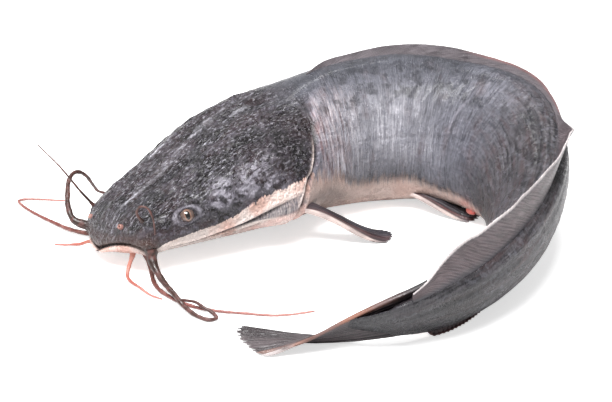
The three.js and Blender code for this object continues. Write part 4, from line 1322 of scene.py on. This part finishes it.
@dataclass
class CaudalFin(Fin):
    """Tail fin: upright at its root, leaning over and coming down to the floor, its lower part lying flat."""

    start: float = 0.95
    length: float = 88.0
    fold_share: float = 0.4
    upper_height: Profile = Profile(((0, 40), (0.25, 33), (0.5, 22), (0.75, 9), (1, 1.5)))
    upper_side: Profile = Profile(((0, 1), (0.4, 2), (0.7, 8), (1, 15)))
    fold_side: Profile = Profile(((0, 8), (0.4, 8), (0.7, 3), (1, 0)))
    lower_width: Profile = Profile(((0, 0), (0.3, 1), (0.6, 6), (1, 10)))

    def middle(self, u: np.ndarray, v: np.ndarray) -> np.ndarray:
        """Middle surface, with a frayed edge behind."""
        form = self.form
        span = 1 - self.start + self.length / form.length
        fray = 0.5 - 0.5 * np.cos(2 * math.pi * self.rays * v)
        uneven = 0.035 * fray + 0.03 * np.abs(np.sin(2 * math.pi * 3.7 * v + 0.8)) ** 5
        ragged = 1 - 0.2 * v**1.5 - 0.04 * (1 - v) ** 4 - uneven * ease(0.7, 1.0, u)
        place, _, left, _ = form.frame(np.minimum(self.start + span * u * ragged, 1.19))
        right = -left * np.array([1.0, 1.0, 0.0])
        right /= np.linalg.norm(right, axis=-1, keepdims=True)
        root_height = float(form.skin(self.start, 270.0)[2])
        fold = place - right * (self.fold_side.at(u) + 0 * v)[..., None]
        fold[..., 2] = root_height + (self.floor_gap + self.margin_thickness - root_height) * ease(0.1, 0.6, u)
        flat = fold - right * ((1 - v / self.fold_share) * self.lower_width.at(u))[..., None]
        upper = place + right * (self.upper_side.at(u) + 0 * v)[..., None]
        upper[..., 2] = self.upper_height.at(u) + 0 * v
        share = np.clip((v - self.fold_share) / (1 - self.fold_share), 0, 1)[..., None]
        return np.where((v < self.fold_share)[..., None], flat, fold + (upper - fold) * share)

    def reach(self, u: np.ndarray, v: np.ndarray) -> np.ndarray:
        """Share from root to free edge."""
        return u + 0 * v

    def ray_share(self, u: np.ndarray, v: np.ndarray) -> np.ndarray:
        """Share across the fan of rays."""
        return v + 0 * u

    def blush(self, u: np.ndarray, v: np.ndarray) -> np.ndarray:
        """Red-brown upper margin."""
        return 0.8 * ease(0.92, 0.985, v) * ease(0.1, 0.4, u)

    def pale_share(self, u: np.ndarray, v: np.ndarray) -> np.ndarray:
        """Pale tip at the end of the upper margin."""
        return 0.8 * ease(0.95, 0.99, v) * ease(0.72, 0.95, u) + 0.25 * ease(0.98, 1.0, u) * ease(0.2, 0.6, v)


@dataclass
class PairedFin(Fin):
    """Breast or belly fin: a narrow folded fan behind its root."""

    side: Side = Side.LEFT
    along: float = 0.235
    angle: float = -20.0
    splay: float = 17.0
    tilt: float = 0.5
    length: float = 58.0
    width: float = 15.0
    tip_height: float = 2.0

    def middle(self, u: np.ndarray, v: np.ndarray) -> np.ndarray:
        """Middle surface of the fan."""
        _, tangent, left, _ = self.form.frame(np.array(self.along))
        flat = left * np.array([1.0, 1.0, 0.0])
        flat /= np.linalg.norm(flat)
        start = self.form.skin(self.along, self.side.angle(self.angle), -self.root_depth)
        splay, sign = math.radians(self.splay), self.side.sign
        fan = self.width * (0.55 + 0.45 * np.sin(math.pi * np.minimum(u * 0.8, 0.5)))
        fray = 0.07 * (0.5 - 0.5 * np.cos(2 * math.pi * self.rays * v)) * ease(0.6, 1.0, u)
        rounded = 1 - 0.16 * (2 * v - 1) ** 2 - fray
        ahead = u * self.length * rounded * math.cos(splay) - (v - 0.5) * fan * math.sin(splay)
        aside = sign * (u * self.length * math.sin(splay) + (0.5 - v) * fan * math.cos(splay))
        point = start + tangent * ahead[..., None] + flat * aside[..., None]
        slant = (v - 0.5) * fan * self.tilt * (1 - u * 0.7)
        point[..., 2] = start[2] + (self.tip_height - start[2]) * ease(0.0, 1.0, u) + slant
        point[..., 2] = np.maximum(point[..., 2], self.floor_gap + self.margin_thickness / 2)
        return point

    def reach(self, u: np.ndarray, v: np.ndarray) -> np.ndarray:
        """Share from root to free edge."""
        return u + 0 * v

    def ray_share(self, u: np.ndarray, v: np.ndarray) -> np.ndarray:
        """Share across the fan of rays."""
        return v + 0 * u

    def thickness(self, u: np.ndarray, v: np.ndarray) -> np.ndarray:
        """Thick at the spine that leads the fin, thin behind."""
        leading = self.root_thickness * (1 - 0.5 * v)
        spine = 1.5 * hump(v - 0.06, 0.1) * (1.0 - ease(0.5, 0.95, u))
        return leading + (self.margin_thickness - leading) * np.sqrt(u) + spine

    def blush(self, u: np.ndarray, v: np.ndarray) -> np.ndarray:
        """Pink beside the leading spine."""
        return 0.4 * hump(v - 0.16, 0.06) + 0.15 * hump(u, 0.3)

    def pale_share(self, u: np.ndarray, v: np.ndarray) -> np.ndarray:
        """Pale along the leading edge."""
        return self.pale * hump(v, 0.055) * (1.0 - 0.8 * ease(0.75, 0.95, u))


# ---- Feelers ---------------------------------------------------------------------------------------------


def through(points: np.ndarray, count: int) -> np.ndarray:
    """Evenly spaced places on a smooth curve through points.

    Args:
        points: Points in order.
        count: Number of places.

    Returns:
        The places.
    """
    ends = np.vstack([2 * points[0] - points[1], points, 2 * points[-1] - points[-2]])
    knots = np.concatenate([[0], np.cumsum(np.sqrt(np.linalg.norm(np.diff(ends, axis=0), axis=1)))])
    found = []
    for i in range(1, len(ends) - 2):
        t = np.linspace(knots[i], knots[i + 1], 24, endpoint=False)[:, None]
        (k0, k1, k2, k3), (p0, p1, p2, p3) = knots[i - 1 : i + 3], ends[i - 1 : i + 3]
        a1 = (k1 - t) / (k1 - k0) * p0 + (t - k0) / (k1 - k0) * p1
        a2 = (k2 - t) / (k2 - k1) * p1 + (t - k1) / (k2 - k1) * p2
        a3 = (k3 - t) / (k3 - k2) * p2 + (t - k2) / (k3 - k2) * p3
        b1 = (k2 - t) / (k2 - k0) * a1 + (t - k0) / (k2 - k0) * a2
        b2 = (k3 - t) / (k3 - k1) * a2 + (t - k1) / (k3 - k1) * a3
        found.append((k2 - t) / (k2 - k1) * b1 + (t - k1) / (k2 - k1) * b2)
    curve = np.vstack([*found, points[-1:]])
    length = np.concatenate([[0], np.cumsum(np.linalg.norm(np.diff(curve, axis=0), axis=1))])
    even = np.linspace(0, length[-1], count)
    return np.stack([np.interp(even, length, curve[:, axis]) for axis in range(3)], axis=-1)


@dataclass
class Feeler:
    """A feeler from its root in the skin, along given points that lie on the floor or arch over it.

    Each point of the route is [x, y] off its origin in plan and z over the floor.
    """

    form: FishForm
    name: str
    diameter: float
    along: float
    angle: float
    route: tuple[tuple[float, float, float], ...]
    slot: Slot
    origin: tuple[float, float] | None = None
    flare: float = 0.35
    flare_reach: float = 3.0
    tip_share: float = 0.3
    root_depth: float = 3.0
    floor_gap: float = 0.15
    sides: int = 18
    spacing: float = 0.6

    def build(self, shop: Workshop, finish: bpy.types.Material) -> None:
        """Builds the feeler.

        Args:
            shop: Makes the piece.
            finish: Its material.
        """
        start = self.form.skin(self.along, self.angle, -self.root_depth)
        leave = self.form.skin(self.along, self.angle)
        base = self.form.skin(*self.origin) if self.origin else leave
        points = [start, leave, *(np.array([base[0] + x, base[1] + y, z]) for x, y, z in self.route)]
        rough = through(np.array(points), 400)
        length = float(np.linalg.norm(np.diff(rough, axis=0), axis=1).sum())
        count = max(40, int(length / self.spacing))
        middle = through(np.array(points), count)
        t = np.linspace(0, 1, count)
        travel = t * length
        radius = self.diameter / 2 * (1 + (self.tip_share - 1) * t**0.6)
        radius = radius * (1 + self.flare * hump(travel, self.flare_reach + self.root_depth))
        radius = radius * (1 + 0.05 * np.sin(travel / 1.7) + 0.04 * np.sin(travel / 0.9 + 2.0))
        radius = radius * (1 - ease(0.985, 1.0, t) * 0.7)
        middle[:, 2] = np.maximum(middle[:, 2], radius + self.floor_gap)
        tangent = np.gradient(middle, axis=0)
        tangent /= np.linalg.norm(tangent, axis=1, keepdims=True)
        normal = np.zeros_like(tangent)
        normal[0] = np.cross(tangent[0], [0.0, 0.0, 1.0])
        for i in range(1, count):
            normal[i] = normal[i - 1] - tangent[i] * (normal[i - 1] @ tangent[i])
            normal[i] /= np.linalg.norm(normal[i])
        other = np.cross(tangent, normal)
        turn = turns(self.sides)
        circle = normal[:, None] * np.cos(turn)[None, :, None] + other[:, None] * np.sin(turn)[None, :, None]
        rings = middle[:, None] + circle * radius[:, None, None]
        rings += circle * (0.07 * lumps(rings, 1.8, 31))[..., None]
        rings[..., 2] = np.maximum(rings[..., 2], 0.1)
        shop.piece(self.name, rings, finish, {"reach": t[:, None] + 0 * turn[None, :]}, node=self.name)


# ---- Eyes, nostrils and vent -----------------------------------------------------------------------------


@dataclass
class Turned:
    """Small round piece standing on the skin."""

    form: FishForm
    along: float
    angle: float
    sides: int = 64

    def axes(self) -> tuple[np.ndarray, np.ndarray, np.ndarray, np.ndarray]:
        """Place on the skin, and the directions out of it, along the fish and across."""
        out = self.form.outward(self.along, self.angle)
        _, tangent, _, _ = self.form.frame(np.array(self.along))
        ahead = tangent - out * (tangent @ out)
        ahead /= np.linalg.norm(ahead)
        return self.form.skin(self.along, self.angle), out, ahead, np.cross(out, ahead)

    def rings(self, radius: np.ndarray, height: np.ndarray) -> np.ndarray:
        """Rings round the direction out of the skin, with a radius and a height each."""
        place, out, ahead, across = self.axes()
        turn = turns(self.sides)
        circle = ahead[None, None] * np.cos(turn)[None, :, None] + across[None, None] * np.sin(turn)[None, :, None]
        return place + circle * radius[:, None, None] + out * height[:, None, None]


@dataclass
class Eye(Turned):
    """Eyeball with a slightly bulging cornea."""

    side: Side = Side.LEFT
    diameter: float = 11.0
    proud: float = 1.6
    rows: int = 48

    def build(self, shop: Workshop, finish: bpy.types.Material) -> None:
        """Builds the eyeball.

        Args:
            shop: Makes the piece.
            finish: Its material.
        """
        polar = np.linspace(0.01, math.pi - 0.01, self.rows)
        radius = self.diameter / 2 * (1 + 0.045 * np.exp(-((polar / 0.55) ** 2)))
        rings = self.rings(radius * np.sin(polar), radius * np.cos(polar) + self.proud - self.diameter / 2)
        turn = turns(self.sides)[None, :]
        oval = 1.0 + 0.34 * np.cos(2 * turn)
        grid = np.zeros((self.rows, self.sides))
        around = np.minimum(turn, 2 * math.pi - turn)
        lay = np.stack([polar[:, None] * 5.0 + grid, around * 3.0 + grid, grid], axis=-1)
        name = f"{self.side.value}_eye"
        shop.piece(name, rings, finish, {"gaze": polar[:, None] * oval, "lay": lay}, node=name)


@dataclass
class Nostril(Turned):
    """Short fleshy tube with a dark hole, near the upper lip."""

    side: Side = Side.LEFT
    outer: float = 1.5
    inner: float = 0.75
    height: float = 2.2

    def build(self, shop: Workshop, finish: bpy.types.Material) -> None:
        """Builds the tube.

        Args:
            shop: Makes the piece.
            finish: Its material.
        """
        wall, hole, top = self.outer, self.inner, self.height
        outside = [(wall * 1.5, -0.8), (wall * 1.15, 0.2), (wall, top * 0.5), (wall * 0.95, top * 0.85)]
        lip = [(wall * 0.85, top), ((wall + hole) / 2, top * 1.04), (hole, top * 0.95)]
        inside = [(hole * 0.9, top * 0.5), (hole * 0.7, 0.1), (0.05, 0.0)]
        radius, height = np.array(outside + lip + inside).T
        rings = self.rings(radius, height)
        reach = np.linspace(0, 1, len(radius))[:, None] + np.zeros((1, self.sides))
        shop.piece(f"{self.side.value}_front_nostril", rings, finish, {"reach": reach})


@dataclass
class Vent(Turned):
    """Small red papilla behind the belly fins, pointing to the tail."""

    radius: float = 2.6
    length: float = 7.0

    def build(self, shop: Workshop, finish: bpy.types.Material) -> None:
        """Builds the papilla.

        Args:
            shop: Makes the piece.
            finish: Its material.
        """
        place, out, ahead, across = self.axes()
        t = np.linspace(0, 1, 28)
        radius = self.radius * np.sqrt(np.clip(1 - t**2.2, 0.0004, 1)) * (0.75 + 0.25 * np.sin(math.pi * t))
        turn = turns(self.sides)
        circle = out[None] * np.cos(turn)[:, None] + across[None] * np.sin(turn)[:, None] * 0.8
        middle = place + ahead * ((t - 0.25) * self.length)[:, None] + out * (0.4 + 0.8 * t)[:, None]
        rings = middle[:, None] + circle[None] * radius[:, None, None]
        rings += 0.15 * np.sin(4 * turn)[None, :, None] * out * radius[:, None, None]
        rings[..., 2] = np.maximum(rings[..., 2], 0.2)
        shop.piece("vent_papilla", rings, finish, {"reach": t[:, None] + 0 * turn[None, :]})


# ---- Studio ----------------------------------------------------------------------------------------------


@dataclass
class Studio:
    """White floor, soft lights and the camera.

    The floor's reach and drop are in metres; the camera's distance is in millimetres.
    """

    form: FishForm
    distance: float = 1130.0
    elevation: float = 29.0
    lens: float = 107.35
    sensor: float = 36.0
    reach: float = 4.0
    drop: float = 1e-4
    room_glow: float = 0.35

    def floor(self) -> None:
        """A plain floor just under the fish."""
        mesh = bpy.data.meshes.new("floor")
        corners = ((-1, -1), (1, -1), (1, 1), (-1, 1))
        mesh.from_pydata([(x * self.reach, y * self.reach, -self.drop) for x, y in corners], [], [(0, 1, 2, 3)])
        mesh.materials.append(FloorFinish().material())
        floor = bpy.data.objects.new("floor", mesh)
        bpy.context.scene.collection.objects.link(floor)

    def light(self, name: str, place: tuple[float, float, float], size: tuple[float, float], power: float) -> None:
        """A soft box aimed at the fish.

        Args:
            name: Name of the light.
            place: Where it hangs.
            size: Its two sides.
            power: Watts.
        """
        data = bpy.data.lights.new(name, "AREA")
        data.shape, data.size, data.size_y, data.energy = "RECTANGLE", size[0], size[1], power
        light = bpy.data.objects.new(name, data)
        light.location = place
        light.rotation_euler = (-Vector(place)).to_track_quat("-Z", "Y").to_euler()
        bpy.context.scene.collection.objects.link(light)

    def build(self) -> None:
        """Lights, floor and camera."""
        scene = bpy.context.scene
        self.floor()
        world = bpy.data.worlds.new("white_room")
        world.use_nodes = True
        background = world.node_tree.nodes["Background"]
        background.inputs["Color"].default_value = (1.0, 1.0, 1.0, 1.0)
        background.inputs["Strength"].default_value = self.room_glow
        scene.world = world
        self.light("front_box", (-0.15, -0.45, 1.15), (0.7, 0.4), 26.0)
        self.light("top_strip", (-0.35, 0.75, 0.9), (0.8, 0.12), 5.0)
        target = Vector(self.form.shift) * MM
        rise = math.radians(self.elevation)
        data = bpy.data.cameras.new("camera")
        data.lens, data.sensor_width = self.lens, self.sensor
        camera = bpy.data.objects.new("camera", data)
        camera.location = target + Vector((0.0, -math.cos(rise), math.sin(rise))) * self.distance * MM
        camera.rotation_euler = (target - camera.location).to_track_quat("-Z", "Y").to_euler()
        scene.collection.objects.link(camera)
        scene.camera = camera
        scene.view_settings.view_transform = "Standard"


# ---- The whole fish --------------------------------------------------------------------------------------


def feelers_of(form: FishForm) -> list[Feeler]:
    """The eight feelers, by their roots and routes."""
    left_corner, right_corner = (0.036, -26.0), (0.03, 196.0)
    dark, pale = Slot.BARBEL, Slot.PALE_BARBEL
    return [
        Feeler(form, "left_maxillary_barbel", 5.0, *left_corner, (
            (1, -5, 14), (5, -12, 9), (10, -20, 6.5), (15, -28, 5.6), (21, -36, 2.8), (28, -43, 1.4), (35, -47, 1.2),
            (39, -45, 1.4), (36, -41, 2.6), (31, -38, 4.2), (27, -34, 4.6), (23, -30, 3), (18, -26, 1.2)), dark,
            flare=0.9, flare_reach=8.0),
        Feeler(form, "left_outer_mandibular_barbel", 3.4, 0.036, -52.0, (
            (-0.8, 1.4, 6), (1.2, -6.6, 2), (5.2, -15.6, 1.5), (13.2, -24.6, 1.4), (21.2, -30.6, 1.2),
            (29.2, -34.6, 1.1), (40.2, -37.6, 1), (54.2, -39.6, 0.9), (71.2, -41.6, 0.8), (84.2, -39.6, 0.7),
            (94.2, -36.6, 0.7)), dark, left_corner),
        Feeler(form, "left_inner_mandibular_barbel", 3.2, 0.024, -54.0, (
            (-2, -2, 6), (-3, -7, 2), (-1, -12, 1.4), (5, -19, 1.2), (12, -27, 1), (19, -31, 0.8)), pale),
        Feeler(form, "left_nasal_barbel", 2.2, 0.034, 32.0, (
            (-3, -1, 40), (-1, -2, 45), (3, -3, 45), (6, -4, 40), (7, -5, 34), (7, -6, 28), (6, -7, 23)), dark),
        Feeler(form, "right_maxillary_barbel", 5.0, *right_corner, (
            (-12, 1, 10), (-16, 8, 15), (-17, 16, 20), (-17, 24, 24), (-15, 30, 26), (-12, 34, 25), (-8, 38, 20),
            (-5, 42, 12), (-2, 46, 5), (4, 49, 2), (12, 52, 1.2)), dark, flare=0.9, flare_reach=8.0),
        Feeler(form, "right_outer_mandibular_barbel", 3.4, 0.03, 216.0, (
            (-9.3, -0.8, 3), (-17.3, 5.2, 2), (-26.3, 13.2, 1.5), (-35.3, 21.2, 1.3), (-44.3, 30.2, 1.2),
            (-50.3, 38.2, 1.1), (-51.3, 41.2, 1), (-47.3, 43.2, 1), (-38.3, 43.2, 0.9), (-27.3, 42.2, 0.8),
            (-20.3, 42.2, 0.7)), dark, right_corner),
        Feeler(form, "right_inner_mandibular_barbel", 3.2, 0.014, 222.0, (
            (-5, 1, 4), (-9, 2, 2), (-14, 3, 1.2), (-19, 3, 1), (-25, 4, 0.8)), pale),
        Feeler(form, "right_nasal_barbel", 2.2, 0.03, 142.0, (
            (-7, -4, 33), (-12, -6, 42), (-18, -5, 50), (-24, -3, 56), (-31, 0, 62)), dark),
    ]


def main() -> None:
    """Builds the studio and the fish, piece by piece."""
    logging.basicConfig(level=logging.INFO, format="%(name)s: %(message)s")
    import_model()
    form = FishForm()
    form.settle()
    LOG.info("the body lies %s mm off its own origin", np.round(form.shift, 2))
    Studio(form).build()
    shop, effects = Workshop(form), Effects()

    Body(form).build(shop, SkinFinish(effects).material())

    back_skin = FinFinish("back_fin", effects).material()
    low_skin = FinFinish(
        "anal_fin", effects, root=(0.03, 0.02, 0.02), ray=(0.07, 0.05, 0.055), margin=(0.16, 0.08, 0.07),
    ).material()
    tail_skin = FinFinish(
        "tail_fin", effects, membrane=(0.008, 0.006, 0.008), ray=(0.100, 0.078, 0.084),
        root=(0.016, 0.013, 0.015), blush=(0.30, 0.13, 0.085),
    ).material()
    paired_skin = FinFinish(
        "paired_fins", effects, membrane=(0.012, 0.010, 0.013), ray=(0.085, 0.078, 0.092), margin=(0.74, 0.60, 0.56),
    ).material()
    DorsalFin(form, "dorsal_fin", 1100, 26, 135, 2.4).build(shop, back_skin)
    AnalFin(form, "anal_fin", 420, 14, 52, 2.2).build(shop, low_skin)
    CaudalFin(form, "caudal_fin", 150, 170, 19, 3.6, ray_height=0.22).build(shop, tail_skin)
    for side in Side:
        PairedFin(form, f"{side.value}_pectoral_fin", 110, 72, 8, 3.2, side=side).build(shop, paired_skin)
        PairedFin(
            form, f"{side.value}_pelvic_fin", 90, 60, 6, 2.4, side=side, along=0.455, angle=-50.0, splay=8.0, tilt=0.4,
            length=44.0, width=13.0,
        ).build(shop, paired_skin)

    dark = FeelerFinish("dark_feeler", effects).material()
    red = FeelerFinish(
        "red_feeler", effects, root=(0.12, 0.04, 0.03), middle=(0.22, 0.065, 0.055), tip=(0.50, 0.22, 0.19),
        patch=(0.45, 0.20, 0.17),
    ).material()
    pink = FeelerFinish(
        "pink_feeler", effects, root=(0.50, 0.20, 0.15), middle=(0.42, 0.12, 0.09), tip=(0.50, 0.20, 0.17),
        patch=(0.60, 0.32, 0.27),
    ).material()
    for feeler in feelers_of(form):
        finish = red if "outer" in feeler.name else dark
        feeler.build(shop, pink if feeler.slot is Slot.PALE_BARBEL else finish)

    wet_eye = EyeFinish(effects).material()
    nostril = FeelerFinish(
        "nostril_flesh", effects, root=(0.22, 0.11, 0.10), middle=(0.45, 0.24, 0.20), tip=(0.05, 0.02, 0.02),
    ).material()
    vent = FeelerFinish(
        "vent_flesh", effects, root=(0.40, 0.09, 0.07), middle=(0.45, 0.10, 0.08), tip=(0.30, 0.05, 0.04),
    ).material()
    for side in Side:
        Eye(form, 0.083, side.angle(14.0), side=side).build(shop, wet_eye)
        Nostril(form, 0.017, side.angle(44.0), side=side).build(shop, nostril)
    Vent(form, 0.588, -66.0).build(shop, vent)
    LOG.info("%d pieces", len(shop.made))


if __name__ == "__main__":
    main()
